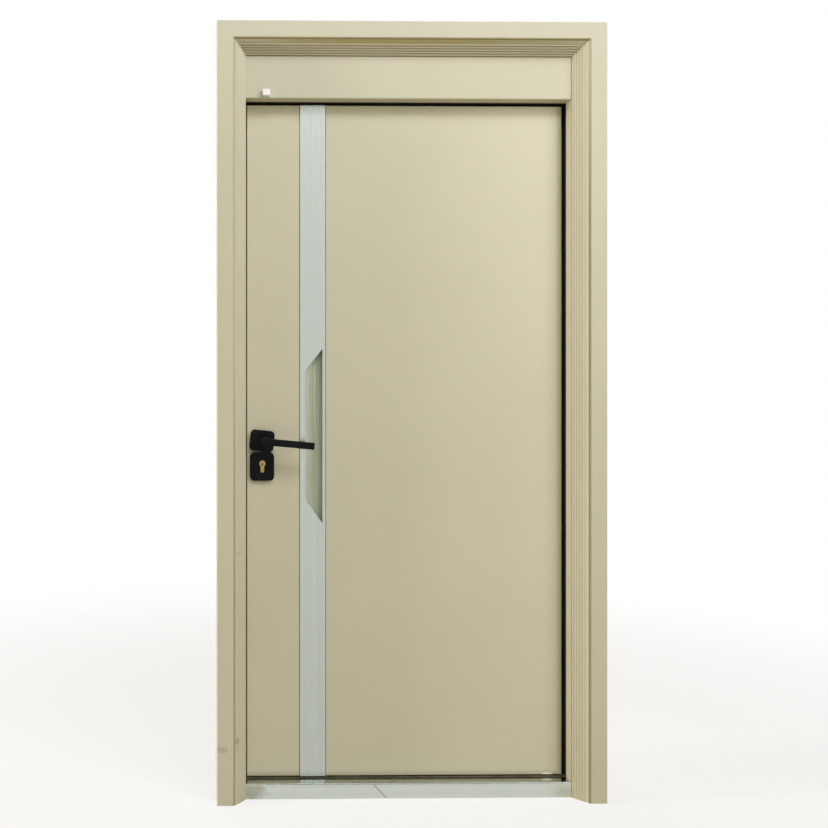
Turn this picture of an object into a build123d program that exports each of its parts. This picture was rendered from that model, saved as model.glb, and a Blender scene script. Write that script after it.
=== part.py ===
from build123d import *
import math
import os

# A steel entrance door in its frame. X runs to the right seen from outside, Y inwards, Z up.
# The origin is at floor level, in the middle of the frame's depth and of the casing's width.
# All lengths are in millimetres and all angles in degrees.

# Overall
overall_width = 1050.0
overall_height = 2100.0

# Casing, a folded strip round the outside of the frame
casing_flat = 46.0
casing_splay = 34.5
casing_depth = 40.0
casing_sheet = 1.2
casing_edge_radius = 2.0
casing_groove_width = 2.4
casing_groove_depth = 1.6
casing_flange = 12.0
reed_count = 5
reed_start_share = 0.3
reed_bulge = 1.5

# Frame, folded sheet
frame_depth = 110.0
frame_sheet = 2.0
frame_bend = 3.0
frame_lip = 15.0
reveal_depth = 36.0
stop_width = 20.0
jamb_width = 55.5
head_panel = 115.5
head_width = 146.0

# Wall fixings through the jambs
fixing_radius = 5.5
fixing_setback = 25.0
fixing_foot = 250.0
fixing_top_drop = 300.0
fixing_step = 450.0

# Threshold and the bar under it
sill_height = 42.0
sill_sheet = 1.5
sill_bend = 2.5
sill_base_thickness = 4.0

# Leaf
leaf_set_back = 38.0
leaf_front_thickness = 22.0
leaf_rear_thickness = 48.0
leaf_sheet = 1.2
leaf_edge_radius = 3.0
lock_gap = 5.5
hinge_gap = 10.5
top_gap = 7.0
bottom_gap = 5.0
edge_gap = 5.5

# Stiles, stiffeners and insulation inside the leaf
stile_sheet = 2.0
stile_flange = 45.0
stiffener_sheet = 1.5
stiffener_flange = 25.0
stiffener_strip_gap = 32.0
board_gap = 1.0
lock_board_gap = 30.0

# Seals
seal_width = 18.0
seal_lip = 2.0
seal_corner_radius = 4.0
seal_hollow_radius = 5.0
seal_gap = 0.3

# Stainless strip and its pull pocket
strip_inset = 147.0
strip_width = 70.0
strip_sheet = 1.0
strip_proud = 1.5
strip_gap = 2.0
strip_channel_depth = 6.0
strip_end_gap = 0.5
pocket_left_margin = 15.0
pocket_right_margin = 8.0
pocket_short_low = 810.0
pocket_short_high = 1165.0
pocket_long_low = 745.0
pocket_long_high = 1225.0
pocket_depth = 20.0
pocket_lead = 3.0
pocket_ramp = 25.0
pocket_sheet = 1.0
pocket_clearance = 2.0

# Lever handles
backset = 62.0
spindle_height = 972.0
spindle_side = 8.0
spindle_clearance = 0.05
spindle_grip = 38.0
lever_length = 137.0
lever_bar_height = 19.0
lever_bar_thickness = 12.0
lever_root_radius = 12.5
lever_taper = 32.0
lever_tip_radius = 3.0
lever_edge_radius = 3.0
lever_standoff = 62.0
lever_neck_radius = 9.0
lever_neck_clearance = 0.3
lever_neck_entry = 6.0
lever_droop = 5.3
lever_turn = 40.0
rose_width = 66.0
rose_height = 58.0
rose_corner = 12.0
rose_thickness = 10.0
rose_edge = 2.5
rose_tilt = 6.0
escutcheon_height = 78.0
escutcheon_corner = 13.0
plate_gap = 0.9

# Through bolts that hold the roses and escutcheons
bolt_radius = 2.5
bolt_clearance = 0.3
bolt_head_radius = 4.5
bolt_head_height = 3.0
bolt_head_gap = 0.5
bolt_reach = 6.0
rose_bolt_offset = 20.0
escutcheon_bolt_drop = 23.0

# Profile cylinder
cylinder_head_radius = 8.5
cylinder_body_width = 10.0
cylinder_drop = 24.5
cylinder_proud = 2.0
cylinder_clearance = 0.3
plug_radius = 6.5
plug_clearance = 0.05
keyway_width = 2.4
keyway_height = 8.5
keyway_depth = 25.0
cam_slot = 10.0
cam_side_gap = 0.2
cam_disc_radius = 8.3
cam_reach = 15.3
cam_width = 7.0
cam_bridge_gap = 0.7
cylinder_screw_drop = 20.0
turn_neck = 3.0
turn_width = 13.0
turn_height = 30.0
turn_depth = 14.0
turn_edge = 2.0

# Mortice lock
lock_case_depth = 104.0
lock_case_thickness = 22.0
lock_case_below = 43.5
lock_case_above = 25.0
lock_sheet = 1.5
lock_window_gap = 0.5
faceplate_thickness = 3.0
faceplate_width = 24.0
faceplate_margin = 34.0
faceplate_clearance = 0.2
hub_radius = 14.0
hub_journal_radius = 10.0
hub_fit = 0.05
hub_side_gap = 0.3
latch_throw = 14.0
latch_rise = 31.0
latch_width = 12.0
latch_height = 20.0
latch_body = 19.0
latch_bevel = 9.0
latch_fit = 0.3
latch_arm_lean = 15.0
latch_arm_tip = 3.5
latch_arm_width = 5.0
latch_tail_width = 6.0
latch_tail_height = 10.0
latch_lug = 6.0
latch_lug_low = 17.0
latch_lug_gap = 0.4
latch_rod_radius = 2.2
latch_rod_end = 3.0
spring_radius = 4.5
spring_wire_radius = 0.6
spring_turns = 8
spring_end_gap = 0.3
deadbolt_radius = 6.5
deadbolt_throw = 20.0
deadbolt_length = 27.0
deadbolt_fit = 0.3
deadbolt_low_margin = 8.5
deadbolt_high_margin = 7.5
carriage_thickness = 6.0
carriage_length = 70.0
carriage_low_rise = 10.5
carriage_height = 35.0
carriage_hub_gap = 3.0
notch_lead = 4.5
notch_tail = 24.5
notch_height = 8.5
guide_radius = 3.0
guide_setback = 5.0
guide_drop = 11.0

# Strike plate
strike_thickness = 2.0
strike_width = 26.0
strike_margin = 34.0
strike_clearance = 2.0

# Countersunk screws
screw_radius = 2.4
screw_fit = 0.05
screw_head_radius = 4.8
screw_head_height = 2.6
screw_length = 6.0
screw_inset = 12.0

# Hinges
hinge_foot = 250.0
hinge_top_drop = 228.5
knuckle_radius = 9.5
knuckle_length = 60.0
knuckle_edge = 2.0
hinge_standoff = 10.5
hinge_plate_thickness = 3.0
leaf_plate_width = 46.0
frame_plate_width = 28.0
hinge_web = 10.0
hinge_web_clear = 0.6
pin_radius = 5.0
pin_fit = 0.05
pin_reach = 50.0
pin_top_gap = 2.0
washer_thickness = 2.0
hinge_screw_spread = 32.0
leaf_screw_lines = (12.0, 34.0)
frame_screw_lines = (14.0,)

# Small white block on the head
block_inset = 44.5
block_width = 20.0
block_rise = 4.0
block_height = 18.0
block_thickness = 12.0
block_edge = 1.5

# Every cut runs past the face it leaves by this much
cut_overrun = 1.0

# Places worked out from the sizes above
overall_half = overall_width / 2
casing_width = casing_flat + casing_splay
clear_half = overall_half - casing_width
rebate_half = clear_half + stop_width
frame_half = clear_half + jamb_width
clear_top = overall_height - casing_width - head_panel
rebate_top = clear_top + stop_width
frame_top = clear_top + head_width
sill_rebate = sill_height - stop_width

frame_front = -frame_depth / 2
frame_back = frame_depth / 2
casing_front = frame_front - casing_depth
stop_face = frame_front + reveal_depth
leaf_face = frame_front + leaf_set_back
leaf_step = leaf_face + leaf_front_thickness
leaf_back = leaf_step + leaf_rear_thickness

leaf_left = -clear_half + lock_gap
leaf_right = clear_half - hinge_gap
leaf_bottom = sill_height + bottom_gap
leaf_top = clear_top - top_gap
flange_half = rebate_half - edge_gap
flange_bottom = sill_rebate + bottom_gap
flange_top = rebate_top - edge_gap

skin_inside = leaf_face + leaf_sheet
step_inside = leaf_step + leaf_sheet
back_inside = leaf_back - leaf_sheet

fixing_head = frame_top - fixing_top_drop
fixing_heights = (fixing_foot, fixing_foot + fixing_step, fixing_head - fixing_step, fixing_head)
hinge_head = flange_top - hinge_top_drop
hinge_heights = (hinge_foot, (hinge_foot + hinge_head) / 2, hinge_head)

strip_left = leaf_left + strip_inset
strip_right = strip_left + strip_width
strip_face = leaf_face - strip_proud
channel_floor = leaf_face + strip_channel_depth
pocket_left = strip_left + pocket_left_margin
pocket_right = strip_right - pocket_right_margin

lock_edge = -flange_half
lock_depth = (leaf_step + leaf_back) / 2
spindle_x = lock_edge + backset
case_front = lock_edge + faceplate_thickness
case_back = case_front + lock_case_depth
case_outside = lock_depth - lock_case_thickness / 2
case_inside = lock_depth + lock_case_thickness / 2
latch_z = spindle_height + latch_rise
carriage_high_rise = carriage_low_rise + carriage_height
cylinder_height = spindle_height - hub_radius - carriage_hub_gap - carriage_high_rise
deadbolt_rises = (carriage_low_rise + deadbolt_low_margin, carriage_high_rise - deadbolt_high_margin)
guide_rise = carriage_high_rise - guide_drop
lock_case_low = cylinder_height - lock_case_below
lock_case_high = latch_z + lock_case_above
faceplate_low = lock_case_low - faceplate_margin
faceplate_high = lock_case_high + faceplate_margin

rose_reach = (
    (rose_height / 2 - rose_corner) * math.cos(math.radians(rose_tilt))
    + (rose_width / 2 - rose_corner) * math.sin(math.radians(rose_tilt))
    + rose_corner
)
escutcheon_centre = spindle_height - rose_reach - plate_gap - escutcheon_height / 2

stile_end = -case_front - stile_flange
stiffener_first = strip_right + stiffener_strip_gap
stiffener_places = (stiffener_first, (stiffener_first + stile_end) / 2)

latch_arm = latch_throw / (
    math.sin(math.radians(lever_turn - latch_arm_lean)) + math.sin(math.radians(latch_arm_lean))
)
arm_rest_x = spindle_x - latch_arm * math.sin(math.radians(latch_arm_lean))
lug_front = arm_rest_x + latch_arm_tip + latch_lug_gap
carriage_front = lock_edge + deadbolt_length

cylinder_front = leaf_face - rose_thickness - cylinder_proud
cylinder_back = leaf_back + rose_thickness + cylinder_proud
cam_front = lock_depth - cam_slot / 2
cam_back = lock_depth + cam_slot / 2

hinge_x = (flange_half + rebate_half) / 2
hinge_y = frame_back + hinge_standoff


def span(x_range, y_range, z_range):
    """A block between two places on each axis."""
    ranges = (x_range, y_range, z_range)
    middle = [(low + high) / 2 for low, high in ranges]
    size = [high - low for low, high in ranges]
    return Pos(*middle) * Box(*size)


def rod_x(radius, x_range, y, z):
    """A round rod along X."""
    low, high = x_range
    return Pos((low + high) / 2, y, z) * Rot(0, 90, 0) * Cylinder(radius, high - low)


def rod_y(radius, x, y_range, z):
    """A round rod along Y."""
    low, high = y_range
    return Pos(x, (low + high) / 2, z) * Rot(90, 0, 0) * Cylinder(radius, high - low)


def rod_z(radius, x, y, z_range):
    """A round rod along Z."""
    low, high = z_range
    return Pos(x, y, (low + high) / 2) * Cylinder(radius, high - low)


def prism_x(outline, x_range):
    """An outline in Y and Z, drawn out along X."""
    low, high = x_range
    return extrude(Plane.YZ.offset(low) * outline, amount=high - low)


def prism_y(outline, y_range):
    """An outline in X and Z, drawn out along Y."""
    low, high = y_range
    return extrude(Plane.XZ.offset(-low) * outline, amount=low - high)


def prism_z(outline, z_range):
    """An outline in X and Y, drawn out along Z."""
    low, high = z_range
    return extrude(Plane.XY.offset(low) * outline, amount=high - low)


def polygon(points):
    """A closed outline with sharp corners."""
    return make_face(Polyline(*points, close=True))


def bent_polygon(points, radius):
    """A closed outline whose corners are bent to one radius."""
    return make_face(FilletPolyline(*points, radius=radius, close=True))


def mirrored(part):
    """The same piece on the other side of the door."""
    return mirror(part, about=Plane.YZ)


def fold_points(opening, rebate, outer, inset):
    """The corners of a frame member's section as pairs of a place across it and a depth."""
    return [
        (outer - inset, frame_front + inset),
        (opening + inset, frame_front + inset),
        (opening + inset, stop_face - inset),
        (rebate + inset, stop_face - inset),
        (rebate + inset, frame_back - inset),
        (outer - inset, frame_back - inset),
    ]


def jamb_envelope():
    """The right-hand jamb's outer form, without its hollow."""
    outside = bent_polygon(fold_points(clear_half, rebate_half, frame_half, 0), frame_bend)
    return prism_z(outside, (0, frame_top))


def scribed(part):
    """A piece that ends at both jambs, cut to follow their bends."""
    envelope = jamb_envelope()
    return part - envelope - mirrored(envelope)


def plain_jamb():
    """A folded jamb for the right-hand side, open towards the wall, with its fixing holes."""
    inside = bent_polygon(
        fold_points(clear_half, rebate_half, frame_half, frame_sheet), frame_bend - frame_sheet
    )
    jamb = jamb_envelope()
    jamb -= prism_z(inside, (-cut_overrun, frame_top + cut_overrun))
    jamb -= span(
        (frame_half - frame_sheet - cut_overrun, frame_half + cut_overrun),
        (frame_front + frame_lip, frame_back - frame_lip),
        (-cut_overrun, frame_top + cut_overrun),
    )
    for height in fixing_heights:
        jamb -= rod_x(
            fixing_radius,
            (rebate_half - cut_overrun, rebate_half + frame_sheet + cut_overrun),
            frame_back - fixing_setback,
            height,
        )
    return jamb


def strike_openings(x_range, clearance):
    """The latch's opening and the round holes for the deadbolts."""
    half_width = latch_width / 2 + clearance
    half_height = latch_height / 2 + clearance
    cut = span(
        x_range,
        (lock_depth - half_width, lock_depth + half_width),
        (latch_z - half_height, latch_z + half_height),
    )
    for rise in deadbolt_rises:
        cut += rod_x(deadbolt_radius + clearance, x_range, lock_depth, cylinder_height + rise)
    return cut


def strike_screw_heights():
    """The two heights at which the strike plate and the faceplate are screwed on."""
    return (faceplate_low + screw_inset, faceplate_high - screw_inset)


def lock_jamb():
    """The left jamb, with the strike's openings and screw holes."""
    jamb = mirrored(plain_jamb())
    wall = (-rebate_half - frame_sheet - cut_overrun, -rebate_half + cut_overrun)
    jamb -= strike_openings(wall, strike_clearance)
    for place in strike_screw_planes():
        jamb -= screw_seat(place)
    return jamb


def hinge_jamb():
    """The right jamb, with the screw holes of the hinges' frame halves."""
    jamb = plain_jamb()
    for x, z in frame_screw_points():
        jamb -= rod_y(
            screw_radius + screw_fit, x, (frame_back - frame_sheet - cut_overrun, frame_back + cut_overrun), z
        )
    return jamb


def frame_head():
    """The head, between the jambs in front of the stop and between their rebates behind it."""
    outside = fold_points(clear_top, rebate_top, frame_top, 0)
    inside = fold_points(clear_top, rebate_top, frame_top, frame_sheet)
    outer_face = bent_polygon([(y, z) for z, y in outside], frame_bend)
    inner_face = bent_polygon([(y, z) for z, y in inside], frame_bend - frame_sheet)
    wide = prism_x(outer_face, (-rebate_half, rebate_half))
    wide -= prism_x(inner_face, (-rebate_half - cut_overrun, rebate_half + cut_overrun))
    wide -= span(
        (-rebate_half - cut_overrun, rebate_half + cut_overrun),
        (frame_front + frame_lip, frame_back - frame_lip),
        (frame_top - frame_sheet - cut_overrun, frame_top + cut_overrun),
    )
    for side in (-1, 1):
        wide -= span(
            sorted((side * clear_half, side * (rebate_half + cut_overrun))),
            (frame_front - cut_overrun, stop_face),
            (clear_top - cut_overrun, frame_top + cut_overrun),
        )
    return scribed(wide)


def sill_points(inset, floor):
    """The corners of the threshold's section as pairs of a depth and a height."""
    return [
        (frame_front + inset, floor),
        (frame_front + inset, sill_height - inset),
        (stop_face - inset, sill_height - inset),
        (stop_face - inset, sill_rebate - inset),
        (frame_back - inset, sill_rebate - inset),
        (frame_back - inset, floor),
    ]


def threshold():
    """A folded stainless cap, with a step for the leaf, open underneath."""
    outside = bent_polygon(sill_points(0, -sill_height), sill_bend)
    inside = bent_polygon(sill_points(sill_sheet, -sill_height - cut_overrun), sill_bend - sill_sheet)
    cap = prism_x(outside, (-rebate_half, rebate_half))
    cap -= prism_x(inside, (-rebate_half - cut_overrun, rebate_half + cut_overrun))
    cap -= span(
        (-rebate_half - cut_overrun, rebate_half + cut_overrun),
        (frame_front - cut_overrun, frame_back + cut_overrun),
        (-sill_height - cut_overrun, 0),
    )
    for side in (-1, 1):
        cap -= span(
            sorted((side * clear_half, side * (rebate_half + cut_overrun))),
            (frame_front - cut_overrun, stop_face),
            (-cut_overrun, sill_height + cut_overrun),
        )
    return scribed(cap)


def sill_base():
    """The flat bar that ties the jambs together under the threshold."""
    return span(
        (-clear_half, clear_half),
        (frame_front + sill_sheet, frame_back - sill_sheet),
        (0, sill_base_thickness),
    )


def splay_point(share):
    """A point on the casing's splay, from its outer edge to its inner edge."""
    return (casing_flat + share * casing_splay, share * casing_depth)


def casing_outline():
    """The casing's section: across from its outer edge, and back from its face."""
    slope = math.hypot(casing_splay, casing_depth)
    normal = (casing_depth / slope, -casing_splay / slope)
    edge = casing_edge_radius
    corner = casing_flat - casing_groove_width
    reed_share = (1 - reed_start_share) / reed_count
    start = splay_point(reed_start_share)
    lines = Polyline((0, casing_depth), (0, edge))
    lines += TangentArc((0, edge), (edge, 0), tangent=(0, -1))
    lines += Polyline(
        (edge, 0),
        (corner, 0),
        (corner + casing_groove_width / 2, casing_groove_depth),
        (casing_flat, 0),
        start,
    )
    for reed in range(reed_count):
        low = splay_point(reed_start_share + reed * reed_share)
        high = splay_point(reed_start_share + (reed + 1) * reed_share)
        crown = [(low[i] + high[i]) / 2 + reed_bulge * normal[i] for i in (0, 1)]
        lines += ThreePointArc(low, tuple(crown), high)
    lines += Line(splay_point(1), (0, casing_depth))
    return make_face(lines)


def casing_hollow():
    """The space behind the casing's sheet."""
    slope = math.hypot(casing_splay, casing_depth)
    back = (-casing_depth / slope * casing_sheet, casing_splay / slope * casing_sheet)
    far = casing_depth + cut_overrun
    far_share = far / casing_depth
    groove_back = casing_groove_depth + casing_sheet
    near_share = groove_back / casing_depth
    near_end = splay_point(near_share)
    far_end = splay_point(far_share)
    return polygon(
        [
            (casing_sheet, far),
            (casing_sheet, casing_sheet),
            (casing_flat - casing_groove_width - casing_sheet, casing_sheet),
            (casing_flat - casing_groove_width / 2 - casing_sheet, groove_back),
            (near_end[0] + back[0], near_end[1] + back[1]),
            (far_end[0] + back[0], far_end[1] + back[1]),
        ]
    )


def casing_flange_outline():
    """The narrow flange that lies on the frame's front, behind the splay."""
    inner = casing_width - casing_sheet
    return polygon(
        [
            (inner - casing_flange, casing_depth - casing_sheet),
            (inner, casing_depth - casing_sheet),
            (inner, casing_depth),
            (inner - casing_flange, casing_depth),
        ]
    )


def casing_section():
    """The whole section of folded casing sheet."""
    return casing_outline() - casing_hollow() + casing_flange_outline()


def mitre_wedge(outside):
    """The block on one side of the right-hand mitre line."""
    high = overall_height + cut_overrun
    right = overall_half + cut_overrun
    left = clear_half - cut_overrun
    low = overall_height - casing_width - cut_overrun
    corner = (right, low) if outside else (left, high)
    return prism_y(
        polygon([(left, low), (right, high), corner]),
        (casing_front - cut_overrun, frame_front + cut_overrun),
    )


def casing_side():
    """The right-hand length of casing, mitred at its top."""
    place = Plane(origin=(overall_half, casing_front, 0), x_dir=(-1, 0, 0), z_dir=(0, 0, -1))
    length = extrude(place * casing_section(), amount=-overall_height)
    return length - mitre_wedge(False)


def casing_head():
    """The casing over the door, mitred at both ends."""
    place = Plane(origin=(-overall_half, casing_front, overall_height), x_dir=(0, 0, -1), z_dir=(1, 0, 0))
    length = extrude(place * casing_section(), amount=overall_width)
    wedge = mitre_wedge(True)
    return length - wedge - mirrored(wedge)


def seal_section():
    """The seal's section: a soft tube, hollow in the middle."""
    depth = leaf_step - seal_gap - stop_face
    return RectangleRounded(seal_width, depth, seal_corner_radius) - Circle(seal_hollow_radius)


def seal_upright():
    """The seal up the right-hand jamb's stop."""
    middle_x = clear_half - seal_lip + seal_width / 2
    middle_y = (stop_face + leaf_step - seal_gap) / 2
    ends = (sill_rebate + sill_bend, rebate_top - frame_bend)
    return prism_z(Pos(middle_x, middle_y) * seal_section(), ends)


def seal_level(middle_z):
    """A seal along the head or the sill, between the upright ones."""
    middle_y = (stop_face + leaf_step - seal_gap) / 2
    end = clear_half - seal_lip
    section = Pos(middle_y, middle_z) * Rot(0, 0, 90) * seal_section()
    return prism_x(section, (-end, end))


def seal_head():
    """The seal under the head's stop."""
    return seal_level(clear_top - seal_lip + seal_width / 2)


def seal_sill():
    """The seal on the threshold's stop."""
    return seal_level(sill_height + seal_lip - seal_width / 2)


def countersunk_screw(place):
    """A countersunk screw whose head is flush with the XY plane of its place, pointing along -Z."""
    head = Pos(0, 0, -screw_head_height / 2) * Cone(screw_radius, screw_head_radius, screw_head_height)
    shank = Pos(0, 0, -(screw_head_height + screw_length) / 2) * Cylinder(
        screw_radius, screw_head_height + screw_length
    )
    return place * (head + shank)


def screw_seat(place):
    """The hole that a countersunk screw sits in."""
    head = Pos(0, 0, -screw_head_height / 2) * Cone(
        screw_radius + screw_fit, screw_head_radius + screw_fit, screw_head_height
    )
    shank = Pos(0, 0, -(screw_head_height + screw_length) / 2) * Cylinder(
        screw_radius + screw_fit, screw_head_height + screw_length + cut_overrun
    )
    mouth = Pos(0, 0, cut_overrun / 2) * Cylinder(screw_head_radius + screw_fit, cut_overrun)
    return place * (head + shank + mouth)


def strike_screw_planes():
    """Where the strike's screws lie: facing the leaf."""
    x = -rebate_half + strike_thickness + screw_fit
    return [
        Plane(origin=(x, lock_depth, z), x_dir=(0, 1, 0), z_dir=(1, 0, 0)) for z in strike_screw_heights()
    ]


def strike_plate():
    """The plate on the lock jamb's rebate, with the openings for the latch and the deadbolts."""
    x_range = (-rebate_half, -rebate_half + strike_thickness)
    plate = span(
        x_range,
        (lock_depth - strike_width / 2, lock_depth + strike_width / 2),
        (faceplate_low, faceplate_high),
    )
    low, high = x_range
    plate -= strike_openings((low - cut_overrun, high + cut_overrun), strike_clearance)
    for place in strike_screw_planes():
        plate -= screw_seat(place)
    return plate


def gather(solids):
    """Separate solids that share one node."""
    return Compound(children=[solid for part in solids for solid in part.solids()])


def strike_screws():
    """The two screws that hold the strike plate."""
    return gather([countersunk_screw(place) for place in strike_screw_planes()])


def contact_block():
    """The small white block on the head's front."""
    block_left = -clear_half + block_inset
    block_low = clear_top + block_rise
    block = span(
        (block_left, block_left + block_width),
        (frame_front - block_thickness, frame_front),
        (block_low, block_low + block_height),
    )
    edges = block.edges() - block.edges().group_by(Axis.Y)[-1]
    return fillet(edges, block_edge)


def hinge_screw_points(lines, direction, start, half):
    """Places of one plate's screws, for every hinge."""
    points = []
    for height in hinge_heights:
        middle = height + half * (washer_thickness + knuckle_length) / 2
        for line in lines:
            for side in (-1, 1):
                points.append((start + direction * line, middle + side * hinge_screw_spread / 2))
    return points


def frame_screw_points():
    """Places of the screws through the hinges' frame halves."""
    return hinge_screw_points(frame_screw_lines, 1, hinge_x + hinge_web, -1)


def leaf_screw_points():
    """Places of the screws through the hinges' leaf halves."""
    return hinge_screw_points(leaf_screw_lines, -1, hinge_x - hinge_web, 1)


def inside_planes(points, depth):
    """Screw places on a face that looks inwards."""
    return [Plane(origin=(x, depth, z), x_dir=(1, 0, 0), z_dir=(0, 1, 0)) for x, z in points]


def frame_screw_planes():
    """The frame halves' screw places."""
    return inside_planes(frame_screw_points(), frame_back + hinge_plate_thickness + screw_fit)


def leaf_screw_planes():
    """The leaf halves' screw places."""
    return inside_planes(leaf_screw_points(), leaf_back + hinge_plate_thickness + screw_fit)


def knuckle(low, high):
    """A hinge barrel with softened ends."""
    barrel = rod_z(knuckle_radius, hinge_x, hinge_y, (low, high))
    return fillet(barrel.edges().filter_by(GeomType.CIRCLE), knuckle_edge)


def hinge_half(height, direction, seat, plate_width, half):
    """One half of a hinge: barrel, web and plate. Direction is +1 towards the frame."""
    low, high = sorted(
        (height + half * washer_thickness / 2, height + half * (washer_thickness / 2 + knuckle_length))
    )
    web_start = hinge_x + direction * hinge_web_clear
    web_end = hinge_x + direction * hinge_web
    part = knuckle(low, high)
    part += span(
        sorted((web_start, web_end)), (seat, hinge_y), (low + knuckle_edge, high - knuckle_edge)
    )
    part += span(
        sorted((web_start + direction * hinge_web_clear, web_end + direction * plate_width)),
        (seat, seat + hinge_plate_thickness),
        (low + knuckle_edge, high - knuckle_edge),
    )
    return part


def hinge_frame_half(height):
    """The lower half of a hinge, on the jamb, with a blind bore for its pin."""
    part = hinge_half(height, 1, frame_back, frame_plate_width, -1)
    top = height - washer_thickness / 2
    part -= rod_z(pin_radius + pin_fit, hinge_x, hinge_y, (top - pin_reach, top + cut_overrun))
    for place in frame_screw_planes():
        part -= screw_seat(place)
    return part


def hinge_leaf_half(height):
    """The upper half of a hinge, on the leaf, which turns on the pin."""
    part = hinge_half(height, -1, leaf_back, leaf_plate_width, 1)
    bottom = height + washer_thickness / 2
    part -= rod_z(
        pin_radius + pin_fit, hinge_x, hinge_y, (bottom - cut_overrun, bottom + pin_reach + pin_top_gap)
    )
    for place in leaf_screw_planes():
        part -= screw_seat(place)
    return part


def hinge_pins():
    """The hinge pins, each standing in the bottom of its frame half."""
    reach = pin_reach + washer_thickness / 2
    return gather([rod_z(pin_radius, hinge_x, hinge_y, (z - reach, z + reach)) for z in hinge_heights])


def hinge_washers():
    """The thrust washers between the hinge halves."""
    rings = []
    for height in hinge_heights:
        low = height - washer_thickness / 2
        high = height + washer_thickness / 2
        ring = rod_z(knuckle_radius, hinge_x, hinge_y, (low, high))
        ring -= rod_z(pin_radius + pin_fit, hinge_x, hinge_y, (low - cut_overrun, high + cut_overrun))
        rings.append(ring)
    return gather(rings)


def hinge_frame_screws():
    """The screws through the hinges' frame halves."""
    return gather([countersunk_screw(place) for place in frame_screw_planes()])


def hinge_leaf_screws():
    """The screws through the hinges' leaf halves."""
    return gather([countersunk_screw(place) for place in leaf_screw_planes()])


def cylinder_outline(grow):
    """The profile cylinder's outline: a round head on a narrow body, round at the bottom."""
    half = cylinder_body_width / 2
    foot = half - cylinder_drop
    body = Pos(0, foot / 2) * Rectangle(cylinder_body_width, -foot)
    outline = Circle(cylinder_head_radius) + body + Pos(0, foot) * Circle(half)
    grown = offset(outline, amount=grow, kind=Kind.INTERSECTION) if grow else outline
    return Pos(spindle_x, cylinder_height) * grown


def rose_bolt_points():
    """The through bolts beside the spindle, turned with the rose."""
    turn = math.radians(rose_tilt)
    return [
        (
            spindle_x + side * rose_bolt_offset * math.cos(turn),
            spindle_height - side * rose_bolt_offset * math.sin(turn),
        )
        for side in (-1, 1)
    ]


def escutcheon_bolt_points():
    """The through bolts below the cylinder."""
    height = escutcheon_centre - escutcheon_bolt_drop
    return [(spindle_x + side * rose_bolt_offset, height) for side in (-1, 1)]


def bolt_points():
    """All the through bolts."""
    return rose_bolt_points() + escutcheon_bolt_points()


def handle_holes(y_range, spindle_radius, cylinder_grow, bolt_hole):
    """The holes that the spindle, the cylinder and the through bolts pass through."""
    cut = rod_y(spindle_radius, spindle_x, y_range, spindle_height)
    cut += prism_y(cylinder_outline(cylinder_grow), y_range)
    for x, z in bolt_points():
        cut += rod_y(bolt_hole, x, y_range, z)
    return cut


def skin_holes(y_range):
    """The handle set's holes through one skin of the leaf."""
    return handle_holes(y_range, lever_neck_radius, pocket_clearance, bolt_head_radius)


def pocket_outline(grow):
    """The pull pocket's outline: a long side at the right and a short one at the left."""
    outline = polygon(
        [
            (pocket_left, pocket_short_low),
            (pocket_left, pocket_short_high),
            (pocket_right, pocket_long_high),
            (pocket_right, pocket_long_low),
        ]
    )
    return offset(outline, amount=grow, kind=Kind.INTERSECTION) if grow else outline


def faceplate_cut(clearance):
    """The opening for the lock's faceplate in the leaf's edge."""
    half = faceplate_width / 2 + clearance
    return span(
        (lock_edge - cut_overrun, case_front),
        (lock_depth - half, lock_depth + half),
        (faceplate_low - clearance, faceplate_high + clearance),
    )


def leaf_block(inset):
    """The leaf's stepped body, or the space inside it when inset by the sheet."""
    back = leaf_back - leaf_sheet + (cut_overrun if inset else 0)
    front = span(
        (leaf_left + inset, leaf_right - inset),
        (leaf_face + inset, back),
        (leaf_bottom + inset, leaf_top - inset),
    )
    rear = span(
        (-flange_half + inset, flange_half - inset),
        (leaf_step + inset, back),
        (flange_bottom + inset, flange_top - inset),
    )
    return front + rear


def strip_channel(grow):
    """The full-height channel for the stainless strip."""
    return span(
        (strip_left - strip_gap - grow, strip_right + strip_gap + grow),
        (leaf_face - cut_overrun, channel_floor + grow),
        (leaf_bottom - cut_overrun, leaf_top + cut_overrun),
    )


def outer_skin():
    """The leaf's outer tray: face, strip channel, stepped edges, open at the back."""
    block = leaf_block(0)
    lowest_front = block.edges().group_by(Axis.Y)[0]
    block = fillet(lowest_front, leaf_edge_radius)
    skin = block - strip_channel(0)
    skin -= leaf_block(leaf_sheet) - strip_channel(leaf_sheet)
    skin -= prism_y(
        pocket_outline(pocket_sheet + pocket_clearance),
        (leaf_face - cut_overrun, channel_floor + leaf_sheet + cut_overrun),
    )
    skin -= skin_holes((leaf_face - cut_overrun, skin_inside + cut_overrun))
    return skin - faceplate_cut(faceplate_clearance)


def inner_skin():
    """The flat sheet that closes the leaf's back."""
    sheet = span(
        (-flange_half, flange_half), (back_inside, leaf_back), (flange_bottom, flange_top)
    )
    sheet -= skin_holes((back_inside - cut_overrun, leaf_back + cut_overrun))
    for x, z in leaf_screw_points():
        sheet -= rod_y(screw_radius + screw_fit, x, (back_inside - cut_overrun, leaf_back + cut_overrun), z)
    return sheet


def edge_channel():
    """A full-height channel inside the leaf's left edge, behind the faceplate."""
    z_range = (flange_bottom + leaf_sheet, flange_top - leaf_sheet)
    channel = span((case_front, case_front + stile_flange), (step_inside, back_inside), z_range)
    channel -= span(
        (case_front + stile_sheet, case_front + stile_flange + cut_overrun),
        (step_inside + stile_sheet, back_inside - stile_sheet),
        (flange_bottom, flange_top),
    )
    return channel


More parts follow.
